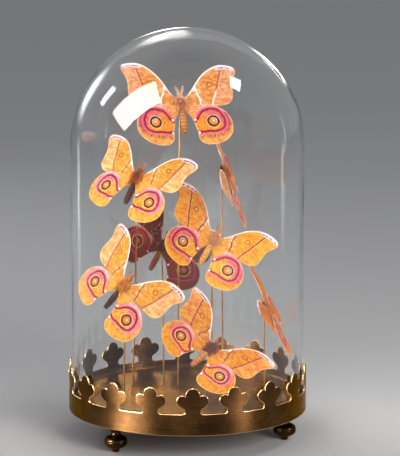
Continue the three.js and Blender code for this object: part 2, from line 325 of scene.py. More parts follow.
# Spun and aged brass: fine rings round the upright axis, and slow clouds of tarnish.
spun, spun_in, spun_out = effect(
    "spun_brass",
    [("Bright", COLOUR), ("Aged", COLOUR), ("Ring Depth", NUMBER)],
    [("Color", COLOUR), ("Roughness", NUMBER), ("Height", NUMBER)],
)
where = spun.nodes.new("ShaderNodeTexCoord").outputs["Object"]
x, y, z = parted(spun, where)
around = maths(spun, "ARCTAN2", y, x)
rings_at = combined(spun, maths(spun, "MULTIPLY", around, 0.0012), distance(spun, x, y), z)
fine_rings = grain_noise(spun, rings_at, TURNING_FINENESS, 3.0, 0.65)
clouds = grain_noise(spun, where, CLOUD_FINENESS, 4.0, 0.6)
specks = grain_noise(spun, where, SPECK_FINENESS, 3.0, 0.6)
age = maths(spun, "ADD", maths(spun, "MULTIPLY", clouds, 0.7), maths(spun, "MULTIPLY", fine_rings, 0.45))
spun.links.new(tinted(spun, eased(spun, age, 0.42, 0.78), spun_in.outputs["Bright"], spun_in.outputs["Aged"]),
               spun_out.inputs["Color"])
worn = maths(spun, "ADD", maths(spun, "MULTIPLY", fine_rings, 0.16), maths(spun, "MULTIPLY", specks, 0.10))
spun.links.new(maths(spun, "ADD", worn, 0.16), spun_out.inputs["Roughness"])
spun.links.new(maths(spun, "MULTIPLY", fine_rings, spun_in.outputs["Ring Depth"]), spun_out.inputs["Height"])


def brass_finish(name, bright, aged, ring_depth, streak):
    """A metal with the spun brass group's colour, gloss and rings; streak draws its shine out."""
    material, shader = finish(name, bright, 0.3, 1.0)
    tree = material.node_tree
    grain = grouped(tree, spun, {"Bright": bright, "Aged": aged, "Ring Depth": ring_depth})
    tree.links.new(grain.outputs["Color"], shader.inputs["Base Color"])
    tree.links.new(grain.outputs["Roughness"], shader.inputs["Roughness"])
    bumped(tree, shader, grain.outputs["Height"], 0.35, 0.0002)
    shader.inputs["Specular Tint"].default_value = tone(236, 206, 172)
    shader.inputs["Anisotropic"].default_value = streak
    shader.inputs["Anisotropic Rotation"].default_value = 0.25
    lay = tree.nodes.new("ShaderNodeTangent")
    lay.direction_type, lay.axis = "RADIAL", "Z"
    tree.links.new(lay.outputs[0], shader.inputs["Tangent"])
    return material


tray_brass = brass_finish("tray_brass", tone(142, 98, 52), tone(76, 50, 28), 1.0, 0.75)

tray_floor = TRAY_HIGH - TRAY_DIP
bead_turns = [math.pi * k / BEAD_STEPS for k in range(BEAD_STEPS + 1)]
bead = [(BEAD_CENTRE + BEAD_HALF * math.cos(a), TRAY_HIGH - BEAD_DROP + BEAD_HEIGHT * math.sin(a))
        for a in bead_turns]
tray_profile = [
    (0, TRAY_LOW), (UNDER_RING, TRAY_LOW), (TRAY_RADIUS - TRAY_EDGE, TRAY_LOW),
    (TRAY_RADIUS, TRAY_LOW + TRAY_EDGE), (TRAY_RADIUS, TRAY_HIGH - TRAY_EDGE),
    (TRAY_RADIUS - TRAY_EDGE, TRAY_HIGH), (BEAD_CENTRE + BEAD_HALF + BEAD_FLANK, TRAY_HIGH), *bead,
    (BEAD_CENTRE - BEAD_HALF - BEAD_FLANK, tray_floor),
    *((radius, tray_floor) for radius in FLOOR_RINGS), (0, tray_floor),
]
tray = piece("tray", *turned(tray_profile, TRAY_FACETS), [tray_brass], ["base_tray"], "brass")
sharpened(tray)
brass_lit = [tray]

# ==== Gallery ========================================================================
# The gallery is a strip of sheet brass bent into a hoop round the tray. Its upper edge is
# pierced into a row of three-lobed clovers on short necks, and the cut edges shine.

HOOP_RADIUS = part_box("gallery_rim")[1][0] / MM
HOOP_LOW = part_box("gallery_rim")[0][2] / MM
HOOP_SHEET = 1.5
CUT_WIDTH = 0.55
SLOT_HEIGHT = 51.8
CLOVERS = 18
FIRST_CLOVER = 2.5
# The round parts of half a clover are (across, up from the slots, radius), the neck is (across, up).
FILLET = (10.7, 2.3, 2.3)
NECK = [(8.7, 4.6), (9.4, 5.7), (11.2, 6.5), (12.6, 7.3)]
SIDE_LOBE = (10.6, 13.6, 6.1)
TOP_LOBE = (0.0, 19.6, 7.4)
FILLET_STEPS, SIDE_LOBE_STEPS, TOP_LOBE_STEPS = 7, 24, 14
STRIPS = 30
BAND_LINE = 2
CUT_ANGLE = 50


def arc(centre, radius, start, end, steps):
    """Points on an arc from start to end, in degrees."""
    turns = (math.radians(start + (end - start) * k / steps) for k in range(steps + 1))
    return [(centre[0] + radius * math.cos(a), centre[1] + radius * math.sin(a)) for a in turns]


half_pitch = math.pi * HOOP_RADIUS / CLOVERS
right_side = [(half_pitch, 0.0)]
right_side += arc(FILLET[:2], FILLET[2], -90, -180, FILLET_STEPS) + NECK
right_side += arc(SIDE_LOBE[:2], SIDE_LOBE[2], -58, 118, SIDE_LOBE_STEPS)
right_side += arc(TOP_LOBE[:2], TOP_LOBE[2], -5, 90, TOP_LOBE_STEPS)
left_side = [(-x, y) for x, y in reversed(right_side[:-1])]
upper = [(x, SLOT_HEIGHT + y) for x, y in right_side + left_side]
strip = bmesh.new()
corners = [(-half_pitch, HOOP_LOW), (half_pitch, HOOP_LOW)] + upper
strip.faces.new([strip.verts.new((x, y, 0.0)) for x, y in corners])
for k in range(1, STRIPS):
    cut = -half_pitch + 2 * half_pitch * k / STRIPS
    bmesh.ops.bisect_plane(strip, geom=strip.verts[:] + strip.edges[:] + strip.faces[:],
                           plane_co=(cut, 0, 0), plane_no=(1, 0, 0), dist=1e-5)
bmesh.ops.bisect_plane(strip, geom=strip.verts[:] + strip.edges[:] + strip.faces[:],
                       plane_co=(0, SLOT_HEIGHT - BAND_LINE, 0), plane_no=(0, 1, 0), dist=1e-5)
strip.verts.index_update()
flat_points = [(v.co.x, v.co.y) for v in strip.verts]
flat_faces = [[v.index for v in f.verts] for f in strip.faces]
strip.free()

hoop_points, hoop_faces = [], []
for i in range(CLOVERS):
    first = len(hoop_points)
    turn = math.radians(FIRST_CLOVER + 360 / CLOVERS * i)
    for along, height in flat_points:
        angle = turn + along / HOOP_RADIUS
        bent = (HOOP_RADIUS * math.sin(angle), -HOOP_RADIUS * math.cos(angle), height)
        hoop_points.append(tuple(value * MM for value in bent))
    hoop_faces += [[first + k for k in face] for face in flat_faces]

hoop_brass = brass_finish("hoop_brass", tone(108, 76, 44), tone(52, 34, 18), 1.0, 0.8)
cut_edge = finish("cut_edge", tone(242, 196, 146), 0.25, 1.0)[0]
hoop = piece("gallery", hoop_points, hoop_faces, [hoop_brass, cut_edge], ["gallery_rim"], "brass")
work = bmesh.new()
work.from_mesh(hoop.data)
bmesh.ops.remove_doubles(work, verts=work.verts[:], dist=1e-6)
bmesh.ops.recalc_face_normals(work, faces=work.faces[:])
outward = sum(f.normal.dot(f.calc_center_median().normalized()) for f in work.faces)
if outward < 0:
    bmesh.ops.reverse_faces(work, faces=work.faces[:])
work.to_mesh(hoop.data)
work.free()
sheet = hoop.modifiers.new("sheet", "SOLIDIFY")
sheet.thickness = HOOP_SHEET * MM
sheet.offset = -1.0
sheet.material_offset_rim = 1
rounding = hoop.modifiers.new("rounding", "BEVEL")
rounding.width = CUT_WIDTH * MM
rounding.segments = 2
rounding.use_clamp_overlap = False
rounding.limit_method = "ANGLE"
rounding.angle_limit = math.radians(CUT_ANGLE)
rounding.material = 1
evening = hoop.modifiers.new("evening", "WEIGHTED_NORMAL")
evening.keep_sharp = True
brass_lit.append(hoop)

# ==== Feet ===========================================================================
# Each foot is a turned ball with a groove round its middle, on a small tip, under a
# thin waist and a stem that screws into the tray. The bronze has aged almost black.

# The turned outline from the tip up: (radius, height).
FOOT_TURNING = [
    (0, 0), (2.8, 0), (3.4, 0.6), (4.1, 3.4), (5.4, 4.2), (8.0, 5.2), (10.4, 6.8), (11.7, 8.6),
    (12.2, 10.6), (11.5, 11.1), (11.4, 11.7), (11.9, 12.4), (11.6, 14.0), (10.2, 15.9), (8.0, 17.2),
    (5.8, 17.9), (5.1, 19.4), (4.9, 21.0), (5.4, 22.8), (6.9, 24.2), (7.0, 25.0), (6.6, 26.0),
    (6.6, 41.2), (0, 41.2)]
FOOT_FACETS = 48
FOOT_EDGE_ANGLE = 50

foot_bronze = brass_finish("foot_bronze", tone(84, 60, 38), tone(42, 31, 23), 0.4, 0.3)
for node in ("foot_left", "foot_right", "foot_back"):
    low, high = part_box(node)
    middle = ((low[0] + high[0]) / 2 / MM, (low[1] + high[1]) / 2 / MM)
    turning = turned(FOOT_TURNING, FOOT_FACETS, middle)
    foot = piece(node + "_turning", *turning, [foot_bronze], [node], "dark_brass")
    sharpened(foot, FOOT_EDGE_ANGLE)
    brass_lit.append(foot)

# ==== Glass dome =====================================================================
# The dome is blown clear glass, three millimetres thick, with straight sides, a round top
# and a fire-polished lower lip. Its inside is faintly uneven, as blown glass is.

DOME_LOW, DOME_HIGH = (corner[2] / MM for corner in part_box("glass_dome"))
DOME_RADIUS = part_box("glass_dome")[1][0] / MM
DOME_WALL = 3.0
DOME_FACETS = 144
SIDE_STEPS = 22
ARC_STEPS = 30
LIP_STEPS = 10
WAVES = 0.16
SLOW_WAVE, QUICK_WAVE = 26.0, 70.0
GLASS_TINT = (0.985, 0.995, 0.992, 1.0)
SHADOW_TINT = (0.93, 0.94, 0.94, 1.0)
GLASS_IOR = 1.46

shoulder = DOME_HIGH - DOME_RADIUS


def dome_side(radius, from_height):
    """The profile of one face of the glass, from the lip up to the middle of the top."""
    side = [(radius, from_height + (shoulder - from_height) * k / SIDE_STEPS) for k in range(SIDE_STEPS)]
    for k in range(ARC_STEPS + 1):
        a = math.pi / 2 * k / ARC_STEPS
        side.append((0.0 if k == ARC_STEPS else radius * math.cos(a), shoulder + radius * math.sin(a)))
    return side


lip_radius = DOME_WALL / 2
lip_height = DOME_LOW + lip_radius
outer_side = dome_side(DOME_RADIUS, lip_height)
inner_side = dome_side(DOME_RADIUS - DOME_WALL, lip_height)
lip = arc((DOME_RADIUS - lip_radius, lip_height), lip_radius, 0, -180, LIP_STEPS)[1:-1]
dome_profile = list(reversed(inner_side)) + list(reversed(lip)) + outer_side
dome_points, dome_faces = turned(dome_profile, DOME_FACETS)
inner_count = 1 + DOME_FACETS * (len(inner_side) - 1)
for k in range(inner_count):
    place = Vector(dome_points[k])
    axis_point = Vector((0.0, 0.0, min(place.z, shoulder * MM)))
    outward = (place - axis_point).normalized()
    wave = noise.noise(place * SLOW_WAVE) + 0.4 * noise.noise(place * QUICK_WAVE)
    dome_points[k] = tuple(place + outward * wave * WAVES * MM)

clear_glass, glass_shader = finish("clear_glass", GLASS_TINT, 0.0)
glass_shader.inputs["Transmission Weight"].default_value = 1.0
glass_shader.inputs["IOR"].default_value = GLASS_IOR
# Light that only casts a shadow goes straight through the glass.
glass_tree = clear_glass.node_tree
light_path = glass_tree.nodes.new("ShaderNodeLightPath")
let_through = glass_tree.nodes.new("ShaderNodeBsdfTransparent")
let_through.inputs["Color"].default_value = SHADOW_TINT
shade = glass_tree.nodes.new("ShaderNodeMixShader")
glass_tree.links.new(light_path.outputs["Is Shadow Ray"], shade.inputs[0])
glass_tree.links.new(glass_shader.outputs[0], shade.inputs[1])
glass_tree.links.new(let_through.outputs[0], shade.inputs[2])
glass_tree.links.new(shade.outputs[0], glass_tree.nodes["Material Output"].inputs["Surface"])

dome = piece("dome", dome_points, dome_faces, [clear_glass], ["glass_dome"], "dome_glass")

# ==== Rods ===========================================================================
# A thin drawn brass rod carries each moth. It is pushed into a hole in the tray and into
# the underside of the thorax, and leans a little where the insect is set off its foot.

# Each moth's thorax centre and rod foot in millimetres, and its turns, wing swings and lifts in degrees.
MOTHS = {
    "moth_top": {
        "centre": (-7.3, 25, 348.4), "rod": (-9.8, 30.2), "turn": 19, "lean": -32, "roll": 2,
        "size": 1.12, "lift": (4, 4),
        "swing": {"fore_left": 7, "fore_right": 3, "hind_left": 3, "hind_right": 4}},
    "moth_upper_left": {
        "centre": (-53.3, 22.5, 270.3), "rod": (-58.4, 27.5), "turn": -25, "lean": -35, "roll": 10,
        "size": 1.03, "lift": (-7, -2),
        "swing": {"fore_left": 8, "fore_right": -3, "hind_left": 14, "hind_right": -3}},
    "moth_upper_right": {
        "centre": (39.4, 36.5, 272.5), "rod": (38.1, 37.4), "turn": 85, "lean": -21, "roll": -30,
        "size": 1.1, "lift": (0, 0),
        "swing": {"fore_left": -3, "fore_right": 3, "hind_left": -9, "hind_right": 7}},
    "moth_centre": {
        "centre": (27.3, 17.9, 204.8), "rod": (25.6, 23), "turn": 24, "lean": -25, "roll": 39,
        "size": 1.05, "lift": (6, 13),
        "swing": {"fore_left": -2, "fore_right": -2, "hind_left": 0, "hind_right": -2}},
    "moth_lower_left": {
        "centre": (-65.9, -17.2, 163.2), "rod": (-67, -9.5), "turn": -30, "lean": -22, "roll": 35,
        "size": 1.06, "lift": (-8, -9),
        "swing": {"fore_left": 6, "fore_right": 2, "hind_left": 6, "hind_right": 0}},
    "moth_back": {
        "centre": (-26.8, 66.3, 188.9), "rod": (-25.5, 71.3), "turn": 24, "lean": -19, "roll": 37,
        "size": 1.01, "lift": (17, 18),
        "swing": {"fore_left": 14, "fore_right": 11, "hind_left": 18, "hind_right": 20}},
    "moth_bottom": {
        "centre": (23.8, -34.7, 99), "rod": (18.3, -29.6), "turn": 24, "lean": -41, "roll": 58,
        "size": 1.03, "lift": (13, 10),
        "swing": {"fore_left": 1, "fore_right": 1, "hind_left": 8, "hind_right": 4}},
    "moth_lower_right": {
        "centre": (84, 4.2, 133.2), "rod": (81.5, 5.2), "turn": 86, "lean": -29, "roll": -20,
        "size": 1.04, "lift": (-1, 2),
        "swing": {"fore_left": 1, "fore_right": -4, "hind_left": 7, "hind_right": 9}},
}
ROD_RADIUS = 0.9
ROD_SINK = 3.2
ROD_STEPS = 6
ROD_SIDES = 16
DRAWING_FINENESS = 1800.0
DRAWING_STRETCH = 0.08


def setting(moth):
    """The matrix from a moth's own axes in millimetres (+X right, +Y head, +Z back) to metres."""
    place = Matrix.Translation(Vector(moth["centre"]) * MM)
    turn = Matrix.Rotation(math.radians(moth["turn"]), 4, "Z")
    lean = Matrix.Rotation(math.radians(moth["lean"]), 4, "X")
    roll = Matrix.Rotation(math.radians(moth["roll"]), 4, "Y")
    upright = Matrix.Rotation(math.pi / 2, 4, "X")
    return place @ turn @ lean @ roll @ upright @ Matrix.Scale(moth["size"] * MM, 4)


def tube(path, radii, sides):
    """Points and faces of a closed round tube along path, with a radius at each point."""
    points, faces = [], []
    normal = None
    for k, place in enumerate(path):
        ahead = (path[min(k + 1, len(path) - 1)] - path[max(k - 1, 0)]).normalized()
        if normal is None:
            normal = ahead.orthogonal().normalized()
        normal = (normal - ahead * normal.dot(ahead)).normalized()
        across = ahead.cross(normal)
        for j in range(sides):
            a = 2 * math.pi * j / sides
            points.append(place + (normal * math.cos(a) + across * math.sin(a)) * radii[k])
    for k in range(len(path) - 1):
        for j in range(sides):
            low, high = k * sides, (k + 1) * sides
            faces.append([low + j, low + (j + 1) % sides, high + (j + 1) % sides, high + j])
    faces.append(list(reversed(range(sides))))
    last = (len(path) - 1) * sides
    faces.append([last + j for j in range(sides)])
    return points, faces


rod_brass, rod_shader = finish("rod_brass", tone(176, 134, 78), 0.3, 1.0)
rod_tree = rod_brass.node_tree
rod_coords = rod_tree.nodes.new("ShaderNodeTexCoord")
rod_map = rod_tree.nodes.new("ShaderNodeMapping")
rod_map.inputs["Scale"].default_value = (1.0, 1.0, DRAWING_STRETCH)
rod_tree.links.new(rod_coords.outputs["Object"], rod_map.inputs["Vector"])
drawn = grain_noise(rod_tree, rod_map.outputs[0], DRAWING_FINENESS)
rod_colour = tinted(rod_tree, eased(rod_tree, drawn, 0.35, 0.7), tone(222, 172, 96), tone(164, 116, 58))
rod_tree.links.new(rod_colour, rod_shader.inputs["Base Color"])
rod_tree.links.new(maths(rod_tree, "MULTIPLY_ADD", drawn, 0.2, 0.2), rod_shader.inputs["Roughness"])

for name, moth in MOTHS.items():
    foot_at = Vector((*moth["rod"], tray_floor)) * MM
    top_at = setting(moth) @ Vector((0, 0, -ROD_SINK))
    path = [foot_at.lerp(top_at, k / ROD_STEPS) for k in range(ROD_STEPS + 1)]
    rod_points, rod_faces = tube(path, [ROD_RADIUS * MM] * len(path), ROD_SIDES)
    node = name.replace("moth", "rod")
    rod = piece(node + "_drawn", [tuple(p) for p in rod_points], rod_faces, [rod_brass], [node], "rod_brass")
    sharpened(rod)
    brass_lit.append(rod)

# ==== Moth wings =====================================================================
# Each wing is a stiff dry membrane a third of a millimetre thick, veined on both faces
# and covered in scales. A net of small faces is cut from its outline, cambered and rippled,
# and the veins are fine tapering tubes sunk into it. The markings are worked out from the
# distance to a few curves, in millimetres from the wing's root.

FORE_LENGTH = 61.0
FORE_ANGLE = 29.0
FORE_ROOT = Vector((4.5, 3.0, 0.6))
HIND_ROOT = Vector((4.0, -6.0, 1.3))
NET = 1.5
MEMBRANE = 0.32
THIN_RIM = 1.5
RIM_SHARE = 0.45
VEIN_RADII = (0.34, 0.17)
VEIN_SIDES = 5
OFF_RIM = 9.0


def bend(start, *legs, steps=14):
    """An outline from start along straight and cubic legs, each given by its further points."""
    outline = [Vector(start)]
    for leg in legs:
        if len(leg) == 1:
            outline.append(Vector(leg[0]))
            continue
        a, b, c, d = outline[-1], *(Vector(p) for p in leg)
        for k in range(1, steps + 1):
            t = k / steps
            outline.append(a * (1 - t) ** 3 + b * 3 * t * (1 - t) ** 2 + c * 3 * t * t * (1 - t) + d * t ** 3)
    return outline


def long_shares(*points):
    """Points in millimetres from shares of the forewing's length."""
    return [(u * FORE_LENGTH, v * FORE_LENGTH) for u, v in points]


fore_outline = bend(
    (-0.02 * FORE_LENGTH, 0.0),
    long_shares((0.225, 0.085)),
    long_shares((0.42, 0.17), (0.62, 0.24), (0.8, 0.165)),
    long_shares((0.9, 0.12), (0.985, 0.06), (1.0, 0.0)),
    long_shares((1.01, -0.08), (0.93, -0.1), (0.86, -0.135)),
    long_shares((0.73, -0.2), (0.72, -0.37), (0.6, -0.415)),
    long_shares((0.5, -0.45), (0.4, -0.38), (0.3, -0.31)),
    long_shares((0.02, -0.13)),
)
hind_outline = [p - HIND_ROOT.xy for p in bend(
    (3, -2.5),
    [(14, -4.5), (23, -3), (31, -6)],
    [(41, -10), (47, -19), (45, -30)],
    [(43, -41), (32, -45), (21.5, -45)],
    [(12, -45), (9, -38), (10.8, -32)],
    [(7.5, -16)],
    [(3, -9)],
)]

# Veins run from the root, fork at the end of the cell and reach the margin.
FORE_VEINS = [long_shares(*vein) for vein in (
    [(0.0, 0.0), (0.24, 0.075), (0.45, 0.145), (0.66, 0.185), (0.8, 0.155)],
    [(0.0, -0.01), (0.25, 0.035), (0.48, 0.08), (0.72, 0.125), (0.9, 0.085), (0.985, 0.03)],
    [(0.48, 0.08), (0.7, 0.095), (0.88, 0.045), (0.99, -0.03)],
    [(0.47, 0.045), (0.68, 0.04), (0.84, -0.03), (0.94, -0.095)],
    [(0.47, 0.01), (0.64, -0.02), (0.76, -0.09), (0.855, -0.135)],
    [(0.43, -0.035), (0.58, -0.09), (0.7, -0.18), (0.755, -0.24)],
    [(0.35, -0.05), (0.5, -0.13), (0.62, -0.24), (0.705, -0.33)],
    [(0.24, -0.05), (0.4, -0.17), (0.52, -0.3), (0.6, -0.41)],
    [(0.0, -0.03), (0.2, -0.04), (0.35, -0.05), (0.44, -0.035), (0.475, 0.01), (0.48, 0.08)],
    [(0.0, -0.05), (0.15, -0.13), (0.32, -0.24), (0.45, -0.385)],
)]
HIND_VEINS = [
    [(0, 2), (12, 1.2), (24, 0.6), (33, -1.5)],
    [(0, 0), (12, -2.5), (25, -4.5), (38, -9.5)],
    [(13, -4), (25, -9), (34, -13), (40.5, -18)],
    [(14, -7), (25, -14.5), (33, -21), (40, -28)],
    [(13.5, -10), (22, -19), (28, -28), (33.5, -36)],
    [(11, -11), (17, -21), (21, -30), (24.5, -38.5)],
    [(8, -9), (12, -19), (15, -29), (16.5, -38)],
    [(0, -1), (6, -7), (11, -11), (13.5, -10), (14, -7), (13, -4), (10, -2.2)],
    [(0, -2), (4.5, -10), (8, -20), (10, -33)],
]


def cut_net(outline):
    """The flat outline cut into a net of small faces: its points, its faces and its rim sides."""
    work = bmesh.new()
    work.faces.new([work.verts.new((p[0], p[1], 0.0)) for p in outline])
    for axis in (0, 1):
        low = min(p[axis] for p in outline)
        high = max(p[axis] for p in outline)
        for k in range(1, int((high - low) / NET) + 1):
            place, normal = [0.0] * 3, [0.0] * 3
            place[axis] = low + k * NET
            normal[axis] = 1.0
            bmesh.ops.bisect_plane(work, geom=work.verts[:] + work.edges[:] + work.faces[:],
                                   plane_co=place, plane_no=normal, dist=1e-4)
    bmesh.ops.remove_doubles(work, verts=work.verts[:], dist=0.02)
    bmesh.ops.recalc_face_normals(work, faces=work.faces[:])
    if work.faces[:][0].normal.z < 0:
        bmesh.ops.reverse_faces(work, faces=work.faces[:])
    work.verts.index_update()
    points = [v.co.xy for v in work.verts]
    faces = [[v.index for v in f.verts] for f in work.faces]
    rim = [[v.index for v in e.verts] for e in work.edges if len(e.link_faces) == 1]
    sides = {(face[k - 1], face[k]) for face in faces for k in range(len(face))}
    rim = [(a, b) if (a, b) in sides else (b, a) for a, b in rim]
    work.free()
    return points, faces, rim


def fore_lie(x, y):
    """How far the forewing's membrane stands off its plane, in millimetres."""
    u, v = x / FORE_LENGTH, y / FORE_LENGTH
    camber = 1.1 * math.sin(math.pi * min(max(u, 0.0), 1.0)) - 3.5 * max(0.0, -v - 0.05) ** 1.3
    ripple = 0.45 * noise.noise(Vector((x * 0.09, y * 0.09, 3.0)))
    return camber + ripple * min(1.0, max(u, 0.0) * 3)


def hind_lie(x, y):
    """How far the hindwing's membrane stands off its plane, in millimetres."""
    reach = math.hypot(x, y)
    camber = 0.9 * math.sin(math.pi * min(reach / 48.0, 1.0))
    ripple = 0.5 * noise.noise(Vector((x * 0.1, y * 0.1, 9.0)))
    return camber + ripple * min(1.0, reach / 14.0)


def edge_gap(point, outline):
    """The distance from a flat point to the nearest side of the outline."""
    least = 1e9
    for a, b in zip(outline, outline[1:] + outline[:1]):
        side = b - a
        share = min(1.0, max(0.0, (point - a).dot(side) / max(side.length_squared, 1e-9)))
        least = min(least, (point - a - side * share).length)
    return least


def smooth_path(knots, steps=5):
    """Points on a Catmull-Rom curve through flat knots."""
    knots = [Vector(k) for k in knots]
    ends = [knots[0] * 2 - knots[1]] + knots + [knots[-1] * 2 - knots[-2]]
    path = []
    for a, b, c, d in zip(ends, ends[1:], ends[2:], ends[3:]):
        for k in range(steps):
            t = k / steps
            path.append(0.5 * (2 * b + (c - a) * t + (2 * a - 5 * b + 4 * c - d) * t * t
                               + (3 * b - a - 3 * c + d) * t ** 3))
    return path + [knots[-1]]


def wing_shape(outline, lie, veins):
    """One right wing in its own axes: its points, faces and marks, and which faces lie below.

    The marks of a point are its place in millimetres, its distance from the rim, and 1 on a vein."""
    flat, faces, rim = cut_net(outline)
    gaps = [edge_gap(p, outline) for p in flat]
    points, marks = [], []
    for side in (1, -1):
        for p, gap in zip(flat, gaps):
            half_thick = MEMBRANE / 2 * (RIM_SHARE + (1 - RIM_SHARE) * min(1.0, gap / THIN_RIM))
            points.append(Vector((p.x, p.y, lie(p.x, p.y) + side * half_thick)))
            marks.append((p.x, p.y, gap, 0.0))
    count = len(flat)
    solid = [list(face) for face in faces]
    solid += [[count + k for k in reversed(face)] for face in faces]
    below = [k >= len(faces) for k in range(len(solid))]
    solid += [[b, a, count + a, count + b] for a, b in rim]
    thick, thin = VEIN_RADII
    for knots in veins:
        path = smooth_path(knots)
        spine = [Vector((p.x, p.y, lie(p.x, p.y))) for p in path]
        radii = [thick + (thin - thick) * k / (len(path) - 1) for k in range(len(path))]
        vein_points, vein_faces = tube(spine, radii, VEIN_SIDES)
        solid += [[len(points) + k for k in face] for face in vein_faces]
        points += vein_points
        marks += [(p.x, p.y, OFF_RIM, 1.0) for p in path for _ in range(VEIN_SIDES)]
    below += [False] * (len(solid) - len(below))
    return points, solid, marks, below


fore_shape = wing_shape(fore_outline, fore_lie, FORE_VEINS)
hind_shape = wing_shape(hind_outline, hind_lie, HIND_VEINS)


def curve_value(tree, value, knots, scale):
    """A smooth curve through knots (place, height), read at value. No height is above scale."""
    low, high = knots[0][0], knots[-1][0]
    share = maths(tree, "DIVIDE", maths(tree, "SUBTRACT", value, low), high - low)
    node = tree.nodes.new("ShaderNodeFloatCurve")
    tree.links.new(share, node.inputs["Value"])
    curve = node.mapping.curves[0]
    spots = [((place - low) / (high - low), height / scale) for place, height in knots]
    curve.points[0].location, curve.points[1].location = spots[0], spots[-1]
    for spot in spots[1:-1]:
        curve.points.new(*spot)
    node.mapping.update()
    return maths(tree, "MULTIPLY", node.outputs[0], scale)


def gap_to_curve(tree, across, along, knots, scale, relative=False):
    """The signed distance from a curve: across is compared with its height at along."""
    height = curve_value(tree, along, knots, scale)
    step = (knots[-1][0] - knots[0][0]) * 0.004
    ahead = curve_value(tree, maths(tree, "ADD", along, step), knots, scale)
    slope = maths(tree, "DIVIDE", maths(tree, "SUBTRACT", ahead, height), step)
    if relative:
        slope = maths(tree, "DIVIDE", slope, height)
    slant = maths(tree, "SQRT", maths(tree, "MULTIPLY_ADD", slope, slope, 1.0))
    return maths(tree, "DIVIDE", maths(tree, "SUBTRACT", across, height), slant)


def stroke(tree, gap, half_width, soft):
    """1 on a line of that half width, 0 away from it."""
    return eased(tree, maths(tree, "ABSOLUTE", gap), half_width + soft, half_width - soft)


def both(tree, *masks):
    """1 where all the masks are 1."""
    value = masks[0]
    for mask in masks[1:]:
        value = maths(tree, "MULTIPLY", value, mask)
    return value


def laid(tree, colour, paint, mask, share=1.0):
    """The colour with paint laid over it where mask is 1, at that share of its full strength."""
    if share < 1.0:
        mask = maths(tree, "MULTIPLY", mask, share)
    return tinted(tree, mask, colour, paint)


def slanted(tree, x, y, along_x, along_y):
    """The place on a slanted scale: x and y, each times its own share."""
    return maths(tree, "MULTIPLY_ADD", y, along_y, maths(tree, "MULTIPLY", x, along_x))


def offset(tree, x, y, centre):
    """The place x, y as seen from a centre."""
    return maths(tree, "SUBTRACT", x, centre[0]), maths(tree, "SUBTRACT", y, centre[1])


def vector_maths(tree, operation, *values):
    """The output of a Vector Math node. Each value is three numbers or another node's output."""
    node = tree.nodes.new("ShaderNodeVectorMath")
    node.operation = operation
    for socket, value in zip(node.inputs, values):
        if isinstance(value, bpy.types.NodeSocket):
            tree.links.new(value, socket)
        else:
            socket.default_value = value
    return node.outputs[0]


def spread(tree, vector, span):
    """A place from 0 to 1 each way, spread over span with the middle at 0."""
    return vector_maths(tree, "MULTIPLY_ADD", vector, (span, span, 0), (-span / 2, -span / 2, 0))


# The wing's chart spans this many millimetres each way, with the root in its middle, and a
# marking is shaken by up to half of SHAKE.
CHART = 100.0
SHAKE = 1.5


def wing_place(tree, seed):
    """The place on the wing in millimetres: x and y, shaken so that no marking is ruled, and the
    unshaken place, which the seed moves to a part of the noises of its own."""
    chart = tree.nodes.new("ShaderNodeUVMap")
    chart.uv_map = "wing"
    millimetres = spread(tree, chart.outputs[0], CHART)
    place = vector_maths(tree, "ADD", millimetres, combined(tree, None, None, seed))
    shake = tree.nodes.new("ShaderNodeTexNoise")
    tree.links.new(place, shake.inputs["Vector"])
    shake.inputs["Scale"].default_value = 0.35
    shake.inputs["Detail"].default_value = 3.0
    step = spread(tree, shake.outputs["Color"], SHAKE)
    x, y, _ = parted(tree, vector_maths(tree, "ADD", millimetres, step))
    return x, y, place


def mesh_mark(tree, name):
    """A value kept per point of the mesh."""
    node = tree.nodes.new("ShaderNodeAttribute")
    node.attribute_name = name
    return node.outputs["Fac"]


def mottled(tree, colour, shaded, place, clouding):
    """The colour with slow clouds and small flecks of its darker shade."""
    colour = laid(tree, colour, shaded, eased(tree, clouding, 0.46, 0.66), 0.65)
    flecks = eased(tree, grain_noise(tree, place, 1.1, 3.0, 0.65), 0.50, 0.60)
    return laid(tree, colour, shaded, both(tree, flecks, eased(tree, clouding, 0.36, 0.52)), 0.65)


def dusted(tree, colour, scales, pattern_out):
    """Ends a wing pattern: its colour is grained by the fine scales, and they give its height."""
    dust = maths(tree, "MULTIPLY_ADD", scales, 0.8, 0.60)
    grey = combined(tree, dust, dust, dust)
    tree.links.new(tinted(tree, 1.0, colour, grey, "MULTIPLY"), pattern_out.inputs["Color"])
    tree.links.new(scales, pattern_out.inputs["Height"])


# Forewing: ground, a basal line, a median line with a paler field beyond it, a small ringed
# spot, a cream front edge and a lilac patch at the tip. Both lines are knots of (y, x).
BASAL = [(-16, 8.6), (-9.8, 11.0), (-6.5, 12.7), (-3.7, 12.9), (0.5, 14.6), (4.9, 16.6), (9, 17.6)]
MEDIAN = [(-26, 14.5), (-18.3, 19.8), (-11.6, 28.7), (-3, 38.5), (3, 45.2), (5.8, 47.9), (8.5, 47.2),
          (11, 44.8), (14, 42)]
SPOT = (29.9, -1.2)
SPOT_RADIUS = 2.3
VEIN_BROWN = tone(178, 88, 42)

